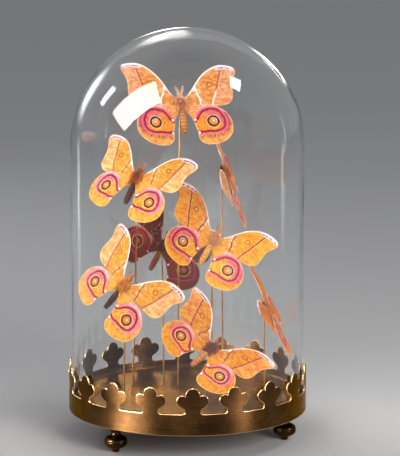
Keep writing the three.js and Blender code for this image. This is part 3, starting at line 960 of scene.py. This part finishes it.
fore_pattern, fore_in, fore_out = effect(
    "forewing_scales",
    [("Ground", COLOUR), ("Beyond", COLOUR), ("Line", COLOUR), ("Line Foot", COLOUR),
     ("Basal Line", COLOUR), ("Ripple", NUMBER), ("Seed", NUMBER)],
    [("Color", COLOUR), ("Height", NUMBER)],
)
tree = fore_pattern
x, y, place = wing_place(tree, fore_in.outputs["Seed"])
rim, vein = mesh_mark(tree, "rim"), mesh_mark(tree, "vein")
basal_gap = gap_to_curve(tree, x, y, BASAL, FORE_LENGTH)
median_gap = gap_to_curve(tree, x, y, MEDIAN, FORE_LENGTH)
clouding = grain_noise(tree, place, 0.26, 5.0, 0.65)
scales = grain_noise(tree, place, 2.6, 3.0, 0.7)
wave_chart = combined(tree, slanted(tree, x, y, 0.77, 0.64), slanted(tree, x, y, -0.1, 0.13),
                      fore_in.outputs["Seed"])
waves = grain_noise(tree, wave_chart, 0.42)

past_median = eased(tree, median_gap, -0.4, 1.2)
colour = tinted(tree, past_median, fore_in.outputs["Ground"], fore_in.outputs["Beyond"])
shaded = tinted(tree, 1.0, colour, tone(222, 134, 82), "MULTIPLY")
colour = mottled(tree, colour, shaded, place, clouding)
paling = both(tree, eased(tree, clouding, 0.50, 0.36), stroke(tree, basal_gap, 3.0, 4.0))
colour = laid(tree, colour, tone(252, 214, 190), paling, 0.75)
ripple = both(tree, eased(tree, waves, 0.45, 0.58), fore_in.outputs["Ripple"])
colour = laid(tree, colour, shaded, ripple)
outer_dark = both(tree, eased(tree, rim, 6.5, 3.2), eased(tree, rim, 0.8, 2.4),
                  eased(tree, median_gap, 1.0, 4.0), eased(tree, clouding, 0.4, 0.6))
colour = laid(tree, colour, tone(206, 106, 62), outer_dark, 0.4)
colour = laid(tree, colour, VEIN_BROWN, vein, 0.85)
basal_pale = both(tree, eased(tree, basal_gap, -4.6, -0.8), eased(tree, y, 0.6, 3.6),
                  eased(tree, basal_gap, 0.5, -0.1))
colour = laid(tree, colour, tone(254, 236, 230), basal_pale)
colour = laid(tree, colour, fore_in.outputs["Basal Line"], stroke(tree, basal_gap, 0.62, 0.3))
beside = maths(tree, "SUBTRACT", median_gap, 1.1)
colour = laid(tree, colour, tone(232, 140, 128), stroke(tree, beside, 0.7, 0.5), 0.55)
line_colour = tinted(tree, eased(tree, y, -8.0, -11.0), fore_in.outputs["Line"], fore_in.outputs["Line Foot"])
colour = laid(tree, colour, line_colour, stroke(tree, median_gap, 0.56, 0.28))
spot_gap = maths(tree, "SUBTRACT", distance(tree, *offset(tree, x, y, SPOT)), SPOT_RADIUS)
colour = laid(tree, colour, tone(244, 160, 60), eased(tree, spot_gap, 0.0, -1.2), 0.45)
colour = laid(tree, colour, tone(146, 62, 30), stroke(tree, spot_gap, 0.5, 0.35), 0.95)
tip = both(tree, eased(tree, x, 42.0, 47.0), eased(tree, rim, 5.4, 3.6), eased(tree, y, -4.0, 1.0))
colour = laid(tree, colour, tone(250, 228, 236), tip, 0.95)
tip_line = stroke(tree, maths(tree, "SUBTRACT", rim, 2.9), 0.75, 0.4)
tip_marks = both(tree, eased(tree, x, 43.5, 46.0), tip_line,
                 eased(tree, grain_noise(tree, place, 0.6, 1.0), 0.40, 0.52), eased(tree, y, -3.0, 0.5))
colour = laid(tree, colour, tone(112, 30, 52), tip_marks)
front = both(tree, eased(tree, rim, 1.7, 1.1), eased(tree, y, 0.2, 2.2), eased(tree, x, 50.0, 44.0))
colour = laid(tree, colour, tone(255, 244, 234), front, 0.95)
hem = both(tree, eased(tree, rim, 0.8, 0.3), eased(tree, x, 20.0, 30.0))
colour = laid(tree, colour, tone(252, 224, 184), hem, 0.4)
dusted(tree, colour, scales, fore_out)

# Hindwing: a large eye in a pink and crimson loop that opens towards the inner margin. The loop
# is knots of (bearing from the eye in degrees, distance), and each of its ends is a white dot.
EYE = (23.3, -16.0)
GLINT = (23.7, -15.7)
LOOP = [(-180, 22.0), (-163, 21.0), (-150, 18.2), (-143.7, 16.4), (-132, 12.9), (-122.5, 11.3), (-100, 10.0),
        (-77.8, 10.0), (-55, 10.7), (-34.8, 11.3), (-8, 10.9), (22.3, 10.9), (45, 11.8), (68.4, 12.9),
        (100, 13.2), (130.8, 13.9), (150, 14.2), (161.7, 14.8), (172, 17.0), (180, 22.0)]
LOOP_SCALE = 30.0
LOOP_ENDS = (((6.4, -12.5), 1.5), ((7.4, -26.2), 1.6))

hind_pattern, hind_in, hind_out = effect(
    "hindwing_scales",
    [("Ground", COLOUR), ("Inner", COLOUR), ("Blush", COLOUR), ("Loop", COLOUR), ("Loop Size", NUMBER),
     ("Eye Shade", COLOUR), ("Dashes", NUMBER), ("Crescent", NUMBER), ("Seed", NUMBER)],
    [("Color", COLOUR), ("Height", NUMBER)],
)
tree = hind_pattern
x, y, place = wing_place(tree, hind_in.outputs["Seed"])
rim, vein = mesh_mark(tree, "rim"), mesh_mark(tree, "vein")
eye_x, eye_y = offset(tree, x, y, EYE)
eye_gap = distance(tree, eye_x, eye_y)
turn = maths(tree, "ARCTAN2", eye_y, eye_x)
bearing = maths(tree, "MULTIPLY", turn, 180 / math.pi)
loop_knots = [(math.radians(degrees), reach) for degrees, reach in LOOP]
loop_reach = maths(tree, "DIVIDE", eye_gap, hind_in.outputs["Loop Size"])
loop_gap = gap_to_curve(tree, loop_reach, turn, loop_knots, LOOP_SCALE, relative=True)
clouding = grain_noise(tree, place, 0.28, 5.0, 0.65)
scales = grain_noise(tree, place, 2.6, 3.0, 0.7)
outward = slanted(tree, eye_x, eye_y, 0.62, 0.78)
towards = maths(tree, "DIVIDE", outward, maths(tree, "MAXIMUM", eye_gap, 0.5))

rosy = tinted(tree, 0.25, hind_in.outputs["Blush"], tone(224, 110, 70))
inner_field = tinted(tree, eased(tree, towards, -0.25, 0.65), hind_in.outputs["Inner"], rosy)
pink_width = maths(tree, "MULTIPLY_ADD", eased(tree, towards, -0.9, 0.5), 4.6, 1.6)
pink_share = eased(tree, maths(tree, "DIVIDE", loop_gap, pink_width), 1.15, 0.62)
basal_fade = eased(tree, slanted(tree, x, y, 1.0, -0.2), 5.0, 12.0)
forward = eased(tree, slanted(tree, x, y, 0.12, 1.0), -6.0, 2.0)
whitened = laid(tree, hind_in.outputs["Blush"], tone(248, 206, 206), forward, 0.7)
outer_field = tinted(tree, both(tree, pink_share, basal_fade), hind_in.outputs["Ground"], whitened)
colour = tinted(tree, eased(tree, loop_gap, -0.25, 0.25), inner_field, outer_field)
ray_chart = combined(tree, maths(tree, "MULTIPLY", bearing, 0.22), maths(tree, "MULTIPLY", eye_gap, 0.06))
rays = grain_noise(tree, ray_chart, 1.0, 3.0, 0.6)
off_middle = maths(tree, "ABSOLUTE", maths(tree, "ADD", bearing, 40.0))
dashes = both(tree, eased(tree, rays, 0.43, 0.54), eased(tree, loop_gap, 2.4, 4.0),
              eased(tree, loop_gap, 8.5, 4.6), eased(tree, eye_gap, 11.0, 13.0),
              eased(tree, off_middle, 115.0, 85.0), hind_in.outputs["Dashes"])
shaded = tinted(tree, 1.0, colour, tone(224, 134, 78), "MULTIPLY")
colour = mottled(tree, colour, shaded, place, clouding)
colour = laid(tree, colour, VEIN_BROWN, vein, 0.8)
colour = laid(tree, colour, tone(140, 44, 26), dashes, 0.85)
outer_glow = maths(tree, "SUBTRACT", loop_gap, 1.9)
colour = laid(tree, colour, hind_in.outputs["Blush"], stroke(tree, outer_glow, 1.0, 0.8), 0.9)
inner_glow = maths(tree, "SUBTRACT", loop_gap, 1.3)
colour = laid(tree, colour, tone(218, 78, 118), stroke(tree, inner_glow, 0.6, 0.4), 0.85)
colour = laid(tree, colour, hind_in.outputs["Loop"], stroke(tree, loop_gap, 1.1, 0.35))
halo = maths(tree, "SUBTRACT", eye_gap, 6.5)
colour = laid(tree, colour, tone(252, 186, 128), stroke(tree, halo, 0.6, 0.4), 0.5)
iris = tinted(tree, eased(tree, eye_gap, 1.4, 3.4), tone(228, 138, 44), tone(198, 110, 38))
crescent = both(tree, eased(tree, eye_gap, 2.2, 3.2), eased(tree, towards, 0.0, 0.5),
                hind_in.outputs["Crescent"])
iris = laid(tree, iris, tone(186, 166, 168), crescent)
glint_gap = distance(tree, *offset(tree, x, y, GLINT))
iris = laid(tree, iris, tone(255, 216, 130), eased(tree, glint_gap, 1.3, 0.5))
# Painted shade on the iris, where a look asks for it; white leaves the eye as it is.
iris = tinted(tree, 1.0, iris, hind_in.outputs["Eye Shade"], "MULTIPLY")
colour = laid(tree, colour, iris, eased(tree, eye_gap, 5.3, 4.9))
eye_ring = stroke(tree, maths(tree, "SUBTRACT", eye_gap, 4.95), 0.9, 0.22)
colour = laid(tree, colour, tone(34, 12, 12), eye_ring)
for centre, reach in LOOP_ENDS:
    end_gap = distance(tree, *offset(tree, x, y, centre))
    colour = laid(tree, colour, tone(252, 236, 232), eased(tree, end_gap, reach, 0.7))
hem = both(tree, eased(tree, rim, 1.0, 0.4), basal_fade)
colour = laid(tree, colour, tone(252, 216, 160), hem, 0.45)
dusted(tree, colour, scales, hind_out)

UNDER_TAN = tone(206, 122, 44)
CRIMSON = tone(138, 0, 30)
WHITE = tone(255, 255, 255)
# Of the eight insects two are tawny and two pale, and one each is golden, amber and saturated. The
# one at the back stands in shade, so its look is painted shade: all its colours darker, its eye too.
# The size of the loop round the eye differs too, and so do the dashes outside it. The forewing's line
# keeps its colour to its foot, and the eye gets no painted shade, unless a look says so.
LOOKS = {
    "golden": {
        "ground": tone(222, 150, 24), "beyond": tone(230, 168, 72), "inner": tone(232, 154, 38),
        "blush": tone(232, 122, 140), "basal": tone(118, 48, 40), "line": tone(118, 44, 42),
        "ripple": 0.55, "loop": 0.8, "dashes": 0.3, "crescent": 0.1},
    "amber": {
        "ground": tone(220, 130, 0), "beyond": tone(224, 138, 8), "inner": tone(222, 128, 2),
        "blush": tone(222, 112, 92), "basal": tone(118, 48, 40), "line": tone(118, 44, 42),
        "ripple": 0.45, "loop": 0.85, "dashes": 0.3, "crescent": 0.1},
    "saturated": {
        "ground": tone(236, 164, 0), "beyond": tone(236, 166, 34), "inner": tone(240, 172, 10),
        "blush": tone(226, 102, 122), "basal": tone(84, 32, 26), "line": tone(96, 30, 32),
        "ripple": 0.3, "loop": 1.0, "dashes": 0.7, "crescent": 0.6},
    "pale": {
        "ground": tone(228, 170, 62), "beyond": tone(236, 194, 128), "inner": tone(232, 168, 62),
        "blush": tone(238, 132, 160), "basal": tone(122, 54, 52), "line": tone(124, 58, 56),
        "ripple": 0.3, "loop": 0.89, "dashes": 0.2, "crescent": 0.15},
    "tawny": {
        "ground": tone(216, 156, 82), "beyond": tone(216, 164, 118), "inner": tone(226, 142, 40),
        "blush": tone(196, 92, 116), "basal": tone(250, 226, 220), "line": tone(140, 70, 52),
        "foot": tone(250, 222, 214),
        "ripple": 0.6, "loop": 1.0, "dashes": 1.0, "crescent": 1.0},
    # Painted shade: the insect at the back stands in shade, so every colour of this look is painted darker,
    # and its eye is dimmed.
    "dark": {
        "ground": tone(122, 42, 2), "beyond": tone(112, 40, 4), "inner": tone(126, 50, 4),
        "blush": tone(132, 42, 62), "basal": tone(66, 24, 18), "line": tone(60, 20, 18),
        "eye": tone(188, 150, 120),
        "ripple": 0.6, "loop": 1.0, "dashes": 0.5, "crescent": 0.2},
}
LOOK_OF = {
    "moth_top": "tawny", "moth_upper_left": "pale", "moth_upper_right": "tawny", "moth_centre": "saturated",
    "moth_lower_left": "pale", "moth_back": "dark", "moth_bottom": "golden", "moth_lower_right": "amber"}
SLOT_OF = {"moth_top": "tawny_moth", "moth_upper_right": "tawny_moth", "moth_back": "dark_moth"}


def scaled_wing(name, group, values):
    """A wing's material: its markings from the group, with this insect's own colours."""
    material, shader = finish(name, UNDER_TAN, 0.78)
    tree = material.node_tree
    markings = grouped(tree, group, values)
    tree.links.new(markings.outputs["Color"], shader.inputs["Base Color"])
    bumped(tree, shader, markings.outputs["Height"], 0.25, 0.0001)
    shader.inputs["Specular IOR Level"].default_value = 0.2
    return material


def between(first, second, share):
    """A colour part of the way from the first to the second."""
    return tuple(a + (b - a) * share for a, b in zip(first, second))


# Each look has four materials: fore and hind above, then the same below, where they are duller.
wing_finishes = {}
for look, colours in LOOKS.items():
    wing_finishes[look] = []
    for side, dull in (("upper", 0.0), ("under", 1.0)):
        ground = between(colours["ground"], UNDER_TAN, 0.5 * dull)
        seed = 6.0 * len(wing_finishes) + dull
        wing_finishes[look].append(scaled_wing(f"forewing_{side}_{look}", fore_pattern, {
            "Ground": ground,
            "Beyond": between(colours["beyond"], ground, 0.5 * dull),
            "Line": between(colours["line"], ground, 0.4 * dull),
            "Line Foot": between(colours.get("foot", colours["line"]), ground, 0.5 * dull),
            "Basal Line": between(colours["basal"], ground, 0.7 * dull),
            "Ripple": colours["ripple"],
            "Seed": seed,
        }))
        wing_finishes[look].append(scaled_wing(f"hindwing_{side}_{look}", hind_pattern, {
            "Ground": ground,
            "Inner": between(colours["inner"], ground, 0.8 * dull),
            "Blush": between(colours["blush"], ground, 0.75 * dull),
            "Loop": between(CRIMSON, ground, 0.45 * dull),
            "Loop Size": colours["loop"],
            "Eye Shade": colours.get("eye", WHITE),
            "Dashes": colours["dashes"],
            "Crescent": colours["crescent"] * (1.0 - dull),
            "Seed": seed + 3.0,
        }))


def wing_hinge(root, angle, lift):
    """The matrix that swings a right wing forward, lifts it and sets it at its root."""
    swing = Matrix.Rotation(math.radians(angle), 4, "Z")
    return Matrix.Translation(root) @ Matrix.Rotation(math.radians(-lift), 4, "Y") @ swing


MIRROR = Matrix.Scale(-1, 4, Vector((1, 0, 0)))
WING_EDGE_ANGLE = 60
FORE, HIND = 0, 1
moth_lit = []

for name, moth in MOTHS.items():
    swing, (lift_left, lift_right) = moth["swing"], moth["lift"]
    points, faces, marks, paints = [], [], [], []
    for shape, root, angle, lift, mirrored, paint in (
            (fore_shape, FORE_ROOT, FORE_ANGLE + swing["fore_left"], lift_left, True, FORE),
            (fore_shape, FORE_ROOT, FORE_ANGLE + swing["fore_right"], lift_right, False, FORE),
            (hind_shape, HIND_ROOT, swing["hind_left"], lift_left, True, HIND),
            (hind_shape, HIND_ROOT, swing["hind_right"], lift_right, False, HIND)):
        hinge = wing_hinge(root, angle, lift)
        if mirrored:
            hinge = MIRROR @ hinge
        to_place = setting(moth) @ hinge
        first = len(points)
        points += [tuple(to_place @ p) for p in shape[0]]
        faces += [[first + k for k in (reversed(face) if mirrored else face)] for face in shape[1]]
        marks += shape[2]
        paints += [paint + (2 if under else 0) for under in shape[3]]
    wings = piece(name + "_wings", points, faces, wing_finishes[LOOK_OF[name]], [name],
                  SLOT_OF.get(name, "golden_moth"))
    moth_lit.append(wings)
    mesh = wings.data
    mesh.polygons.foreach_set("material_index", paints)
    for title, column in (("rim", 2), ("vein", 3)):
        layer = mesh.attributes.new(title, "FLOAT", "POINT")
        layer.data.foreach_set("value", [mark[column] for mark in marks])
    chart = mesh.uv_layers.new(name="wing")
    corners = [0] * len(mesh.loops)
    mesh.loops.foreach_get("vertex_index", corners)
    chart.data.foreach_set("uv", [place / CHART + 0.5 for k in corners for place in marks[k][:2]])
    sharpened(wings, WING_EDGE_ANGLE)

# ==== Moth bodies ====================================================================
# The dried body is a furry thorax with a small head, a ringed abdomen that has shrunk a
# little, two feathered antennae and six thin folded legs. The fur is made of single
# strands that stand on the body and lie back over the roots of the wings.

THORAX = (4.9, 6.6, 4.2)
HEAD_PLACE, HEAD = (0.0, 8.0, 0.0), (2.3, 2.1, 2.0)
TAIL_START, TAIL_END, TAIL_HEIGHT = -3.0, -30.4, -0.6
# The abdomen's half widths from its tip forward: (y, half width).
TAIL_WIDTHS = [(-30.4, 0.0), (-30.0, 1.1), (-28.5, 2.0), (-22, 2.95), (-14, 3.1), (-8, 2.7), (-3, 2.2)]
TAIL_FLATNESS = 0.92
TAIL_RING = 3.4
TAIL_SIDES, TAIL_ROWS = 16, 44
EYEBALL_PLACE, EYEBALL = (1.85, 8.6, -0.2), (0.85, 1.1, 1.1)
PALP = ((0.5, 9.4, -1.0), (0.7, 10.4, -0.7), (0.8, 11.0, -0.1))
PALP_RADII = (0.42, 0.4, 0.12)
FEELER_ROOT, FEELER_REACH, FEELER_BOW = (1.1, 8.8, 0.5), (2.7, 8.1, 2.0), (0.25, -0.1, 0.2)
SHAFT_STEPS = 12
BARBS = 44
# The hip, knee and foot of each right leg, from the front pair back.
LEGS = (
    ((2.4, 4.5, -3.0), (5.2, 7.5, -6.0), (4.4, 10.5, -8.0)),
    ((2.8, 1.0, -3.0), (6.6, 1.5, -6.5), (6.4, -2.0, -9.5)),
    ((3.4, -2.0, -2.4), (6.6, -5.0, -3.4), (4.0, -12.0, -5.0)),
)
THIGH_RADII = (0.5, 0.5, 0.5, 0.5, 0.42, 0.4)
SHIN_RADII = (0.34, 0.3, 0.3, 0.26, 0.24, 0.22, 0.16)
THIGH_STEPS, SHIN_STEPS = 5, 7
TAIL_HAIRS, THORAX_HAIRS, HEAD_HAIRS, ROOT_HAIRS, LEG_HAIRS = 1500, 2600, 500, 620, 70
# The lengths, the width and the shades of each kind of hair. A shade is 0 at the darkest.
TAIL_HAIR = ((0.9, 2.2), 0.085, (0.25, 0.9))
THORAX_HAIR = ((1.4, 2.9), 0.11, (0.3, 1.0))
HEAD_HAIR = ((0.7, 1.5), 0.085, (0.2, 1.0))
ROOT_HAIR = ((2.0, 5.2), 0.10, (0.75, 1.0))
LEG_HAIR = ((0.7, 1.5), 0.06, (0.3, 0.8))
FUR_SINK = 0.96
FUR, TAIL, FEELERS, EYES, TUFT = range(5)


class Body:
    """The growing mesh of one insect's body: points in its own millimetres, faces, paints and shades."""

    def __init__(self):
        """An empty body. A paint is the number of a face's material, a shade is 0 to 1 at a point."""
        self.points, self.faces, self.paints, self.shades = [], [], [], []

    def add(self, points, faces, paint, shade):
        """Joins on a part of one paint, with one shade or a list of them, one for each point."""
        first = len(self.points)
        self.points += points
        self.faces += [[first + k for k in face] for face in faces]
        self.paints += [paint] * len(faces)
        self.shades += shade if isinstance(shade, list) else [shade] * len(points)

    def lump(self, centre, radii, paint, shade, rings=10, sides=16):
        """An egg-shaped lump, its poles along the body."""
        points, faces = [Vector((0, -1, 0))], []
        for i in range(1, rings):
            a = math.pi * i / rings
            points += [Vector((math.sin(a) * math.cos(b), -math.cos(a), math.sin(a) * math.sin(b)))
                       for b in (2 * math.pi * k / sides for k in range(sides))]
        points.append(Vector((0, 1, 0)))
        for k in range(sides):
            after = (k + 1) % sides
            faces.append([0, 1 + k, 1 + after])
            for i in range(rings - 2):
                low, high = 1 + i * sides, 1 + (i + 1) * sides
                faces.append([low + k, high + k, high + after, low + after])
            last = 1 + (rings - 2) * sides
            faces.append([last + k, len(points) - 1, last + after])
        placed = [Vector(centre) + Vector((p.x * radii[0], p.y * radii[1], p.z * radii[2])) for p in points]
        self.add(placed, faces, paint, shade)

    def strand(self, root, way, hair, paint, chance):
        """One hair of a kind: a thin three-sided spike with a bend half way."""
        lengths, width, shades = hair
        length, shade = chance.uniform(*lengths), chance.uniform(*shades)
        way = way.normalized()
        side = way.orthogonal().normalized()
        across = way.cross(side)
        curl = (side * chance.uniform(-1, 1) + across * chance.uniform(-1, 1)) * length * 0.16
        points = []
        for share, wide in ((0.0, 1.0), (0.55, 0.75)):
            centre = root + way * length * share + curl * share * share
            for k in range(3):
                a = 2 * math.pi * k / 3
                points.append(centre + (side * math.cos(a) + across * math.sin(a)) * width * wide)
        points.append(root + way * length + curl)
        faces = [[2, 1, 0]]
        for k in range(3):
            after = (k + 1) % 3
            faces += [[k, after, 3 + after, 3 + k], [3 + k, 3 + after, 6]]
        self.add(points, faces, paint, [shade * 0.75] * 3 + [shade] * 3 + [min(1.0, shade * 1.25)])


def astray(chance, reach):
    """A small step in any direction, so that hairs don't lie parallel."""
    return Vector([chance.uniform(-reach, reach) for _ in range(3)])


def tail_groove(y):
    """1 in the groove between two rings of the abdomen, 0 half way to the next groove."""
    return abs(math.cos(math.pi * (y - TAIL_END) / TAIL_RING))


def tail_width(y):
    """The abdomen's half width at y along the body, drawn in a little at each groove."""
    for (y0, r0), (y1, r1) in zip(TAIL_WIDTHS, TAIL_WIDTHS[1:]):
        if y0 <= y <= y1:
            share = (y - y0) / (y1 - y0)
            share = share * share * (3 - 2 * share)
            return (r0 + (r1 - r0) * share) * (1.0 - 0.09 * tail_groove(y) ** 6)
    return 0.0


def add_tail(body, chance):
    """The ringed abdomen, and its fur, which lies back along it."""
    points, faces = [], []
    for i in range(TAIL_ROWS + 1):
        y = TAIL_END + (TAIL_START - TAIL_END) * i / TAIL_ROWS
        wide = max(tail_width(y), 0.02)
        for k in range(TAIL_SIDES):
            a = 2 * math.pi * k / TAIL_SIDES
            points.append(Vector((wide * math.cos(a), y, TAIL_HEIGHT + wide * TAIL_FLATNESS * math.sin(a))))
    for i in range(TAIL_ROWS):
        low, high = i * TAIL_SIDES, (i + 1) * TAIL_SIDES
        for k in range(TAIL_SIDES):
            after = (k + 1) % TAIL_SIDES
            faces.append([low + k, high + k, high + after, low + after])
    faces.append(list(range(TAIL_SIDES)))
    faces.append([TAIL_ROWS * TAIL_SIDES + k for k in reversed(range(TAIL_SIDES))])
    body.add(points, faces, TAIL, [0.8 - 0.6 * tail_groove(p.y) for p in points])
    for _ in range(TAIL_HAIRS):
        y = chance.uniform(TAIL_END + 1.0, TAIL_START)
        a = chance.uniform(0, 2 * math.pi)
        out = Vector((math.cos(a), 0, math.sin(a) * TAIL_FLATNESS))
        root = out * tail_width(y) * 0.97 + Vector((0, y, TAIL_HEIGHT))
        way = out * chance.uniform(0.15, 0.5) + Vector((0, -1, 0)) + Vector([chance.uniform(-0.15, 0.15)] * 3)
        body.strand(root, way, TAIL_HAIR, TAIL, chance)


def add_coat(body, chance, tufted):
    """The fur of the thorax and head, and the long hair over the roots of the wings."""
    for _ in range(THORAX_HAIRS):
        z = chance.uniform(-1, 1)
        a = chance.uniform(0, 2 * math.pi)
        flat = math.sqrt(1 - z * z)
        unit = Vector((flat * math.cos(a), flat * math.sin(a), z))
        root = Vector([value * radius for value, radius in zip(unit, THORAX)]) * FUR_SINK
        way = unit * 0.8 + Vector((0, -0.7, 0)) + astray(chance, 0.25)
        paint = TUFT if tufted and unit.y > 0.5 and unit.z > -0.2 else FUR
        body.strand(root, way, THORAX_HAIR, paint, chance)
    for _ in range(HEAD_HAIRS):
        unit = Vector([chance.gauss(0, 1) for _ in range(3)]).normalized()
        root = Vector(HEAD_PLACE) + Vector([value * radius for value, radius in zip(unit, HEAD)]) * FUR_SINK
        way = unit + Vector((0, 0.25, 0)) + astray(chance, 0.3)
        paint = TUFT if tufted else FUR
        body.strand(root, way, HEAD_HAIR, paint, chance)
    for side in (1, -1):
        for _ in range(ROOT_HAIRS):
            y = chance.uniform(-7.5, 5.2)
            root = Vector((side * chance.uniform(2.2, 3.9), y, chance.uniform(0.4, 2.8)))
            back = -0.9 if y < -2 else chance.uniform(-0.5, 0.45)
            way = Vector((side, back, chance.uniform(-0.12, 0.10))) + astray(chance, 0.15)
            body.strand(root, way, ROOT_HAIR, FUR, chance)


def on_side(side, place):
    """A place given for the right of the body, kept there where side is 1 and mirrored where it is -1."""
    return Vector((side * place[0], place[1], place[2]))


def add_face(body, side, chance):
    """One eye, one palp and one feathered antenna, on the right where side is 1."""
    body.lump(on_side(side, EYEBALL_PLACE), EYEBALL, EYES, 0.5, 8, 12)
    palp = [on_side(side, place) for place in PALP]
    body.add(*tube(palp, PALP_RADII, 7), FUR, 0.5)
    root = on_side(side, FEELER_ROOT)
    tip = root + on_side(side, FEELER_REACH)
    bow = on_side(side, FEELER_BOW)
    steps = range(SHAFT_STEPS + 1)
    shaft = [root.lerp(tip, k / SHAFT_STEPS) + bow * math.sin(math.pi * k / SHAFT_STEPS) for k in steps]
    body.add(*tube(shaft, [0.22 - 0.011 * k for k in steps], 6), FEELERS, 0.7)
    ahead = (tip - root).normalized()
    flat = ahead.cross(Vector((0, 0, 1))).normalized()
    for k in range(BARBS):
        share = 0.05 + 0.93 * k / (BARBS - 1)
        at = root.lerp(tip, share) + bow * math.sin(math.pi * share)
        reach = 2.1 * math.sin(math.pi * min(1.0, share * 0.8 + 0.2)) ** 0.6 + 0.2
        for hand in (1, -1):
            way = flat * hand + ahead * 0.5 + Vector((0, 0, 0.25)) * chance.uniform(0.6, 1.2)
            barb = ((0.9 * reach, 1.06 * reach), 0.1, (0.6, 1.0))
            body.strand(at, way, barb, FEELERS, chance)


def add_legs(body, side, chance):
    """The three legs of one side, each a thigh and a thinner shin, with fine hairs on both."""
    for leg in LEGS:
        hip, knee, toe = (on_side(side, place) for place in leg)
        thigh = [hip.lerp(knee, k / THIGH_STEPS) for k in range(THIGH_STEPS + 1)]
        shin = [knee.lerp(toe, k / SHIN_STEPS) for k in range(1, SHIN_STEPS + 1)]
        body.add(*tube(thigh + shin, THIGH_RADII + SHIN_RADII, 7), FEELERS, 0.4)
        for k in range(LEG_HAIRS):
            start, end = (hip, knee) if k % 2 else (knee, toe)
            at = start.lerp(end, chance.random())
            way = (end - start).normalized() + astray(chance, 0.8)
            body.strand(at, way, LEG_HAIR, FEELERS, chance)


def moth_body(chance, tufted):
    """One whole body. A tufted one has pale fur on its head and the front of its thorax."""
    body = Body()
    body.lump((0, 0, 0), THORAX, FUR, 0.45)
    body.lump(HEAD_PLACE, HEAD, FUR, 0.45, 8, 12)
    add_tail(body, chance)
    add_coat(body, chance, tufted)
    for side in (1, -1):
        add_face(body, side, chance)
        add_legs(body, side, chance)
    return body


# Fur: each strand runs from a dark root to a paler tip, and patches of it differ a little.
fur_coat, fur_in, fur_out = effect(
    "fur_coat",
    [("Tip", COLOUR), ("Root", COLOUR)],
    [("Color", COLOUR)],
)
strand_shade = mesh_mark(fur_coat, "shade")
fur_place = fur_coat.nodes.new("ShaderNodeTexCoord").outputs["Object"]
patches = grain_noise(fur_coat, fur_place, 320.0, 2.0)
mixed = maths(fur_coat, "MULTIPLY_ADD", maths(fur_coat, "SUBTRACT", patches, 0.5), 0.5, strand_shade)
to_tip = eased(fur_coat, mixed, 0.05, 0.95)
fur_colour = tinted(fur_coat, to_tip, fur_in.outputs["Root"], fur_in.outputs["Tip"])
fur_coat.links.new(fur_colour, fur_out.inputs["Color"])


def furred(name, tip, root, roughness=0.85):
    """A material of the fur coat group, for fur and for the bare feelers, legs and eyes."""
    material, shader = finish(name, tip, roughness)
    coat = grouped(material.node_tree, fur_coat, {"Tip": tip, "Root": root})
    material.node_tree.links.new(coat.outputs["Color"], shader.inputs["Base Color"])
    return material


brown_feelers = furred("feelers_brown", tone(214, 132, 72), tone(96, 46, 24), 0.6)
grey_feelers = furred("feelers_grey", tone(236, 196, 170), tone(120, 78, 58), 0.6)
eye_black = furred("eye_black", tone(40, 26, 20), tone(16, 10, 8), 0.2)
pale_tuft = furred("pale_tuft", tone(255, 236, 206), tone(232, 178, 130))
FIRST_SEED = 40
# For each insect: the tips and roots of the fur, then of the abdomen.
COATS = {
    "moth_top": (tone(255, 184, 130), tone(190, 100, 62), tone(250, 168, 84), tone(160, 84, 36)),
    "moth_upper_left": (tone(226, 122, 62), tone(80, 30, 18), tone(120, 52, 26), tone(48, 20, 12)),
    "moth_upper_right": (tone(220, 128, 74), tone(82, 36, 22), tone(236, 146, 90), tone(140, 72, 40)),
    "moth_centre": (tone(255, 190, 76), tone(196, 104, 26), tone(255, 204, 96), tone(206, 122, 44)),
    "moth_lower_left": (tone(255, 176, 60), tone(190, 96, 24), tone(112, 52, 28), tone(36, 16, 12)),
    "moth_back": (tone(190, 98, 42), tone(92, 42, 20), tone(220, 122, 50), tone(120, 58, 24)),
    "moth_bottom": (tone(170, 76, 46), tone(60, 20, 18), tone(255, 176, 84), tone(170, 90, 36)),
    "moth_lower_right": (tone(240, 150, 66), tone(110, 52, 24), tone(240, 152, 68), tone(130, 64, 28)),
}

for k, (name, moth) in enumerate(MOTHS.items()):
    body = moth_body(random.Random(FIRST_SEED + k), tufted=name == "moth_top")
    fur_tip, fur_foot, tail_tip, tail_foot = COATS[name]
    body_finishes = [furred("fur_" + name, fur_tip, fur_foot), furred("abdomen_" + name, tail_tip, tail_foot),
                     grey_feelers if LOOK_OF[name] == "tawny" else brown_feelers, eye_black, pale_tuft]
    to_place = setting(moth)
    points = [tuple(to_place @ p) for p in body.points]
    slot = SLOT_OF.get(name, "golden_moth")
    whole = piece(name + "_body", points, body.faces, body_finishes, [name], slot)
    moth_lit.append(whole)
    whole.data.polygons.foreach_set("material_index", body.paints)
    layer = whole.data.attributes.new("shade", "FLOAT", "POINT")
    layer.data.foreach_set("value", body.shades)

# Each set of lamps lights only its own pieces.
for title, lamps, pieces in (
        ("brass_pieces", brass_lamps, brass_lit),
        ("insects_and_floor", moth_lamps, moth_lit + [floor]),
        ("brass_and_glass", back_lamps, brass_lit + [dome]),
        ("glass", glass_lamps, [dome])):
    lit_only = bpy.data.collections.new(title)
    for lit in pieces:
        lit_only.objects.link(lit)
    for lamp in lamps:
        lamp.light_linking.receiver_collection = lit_only
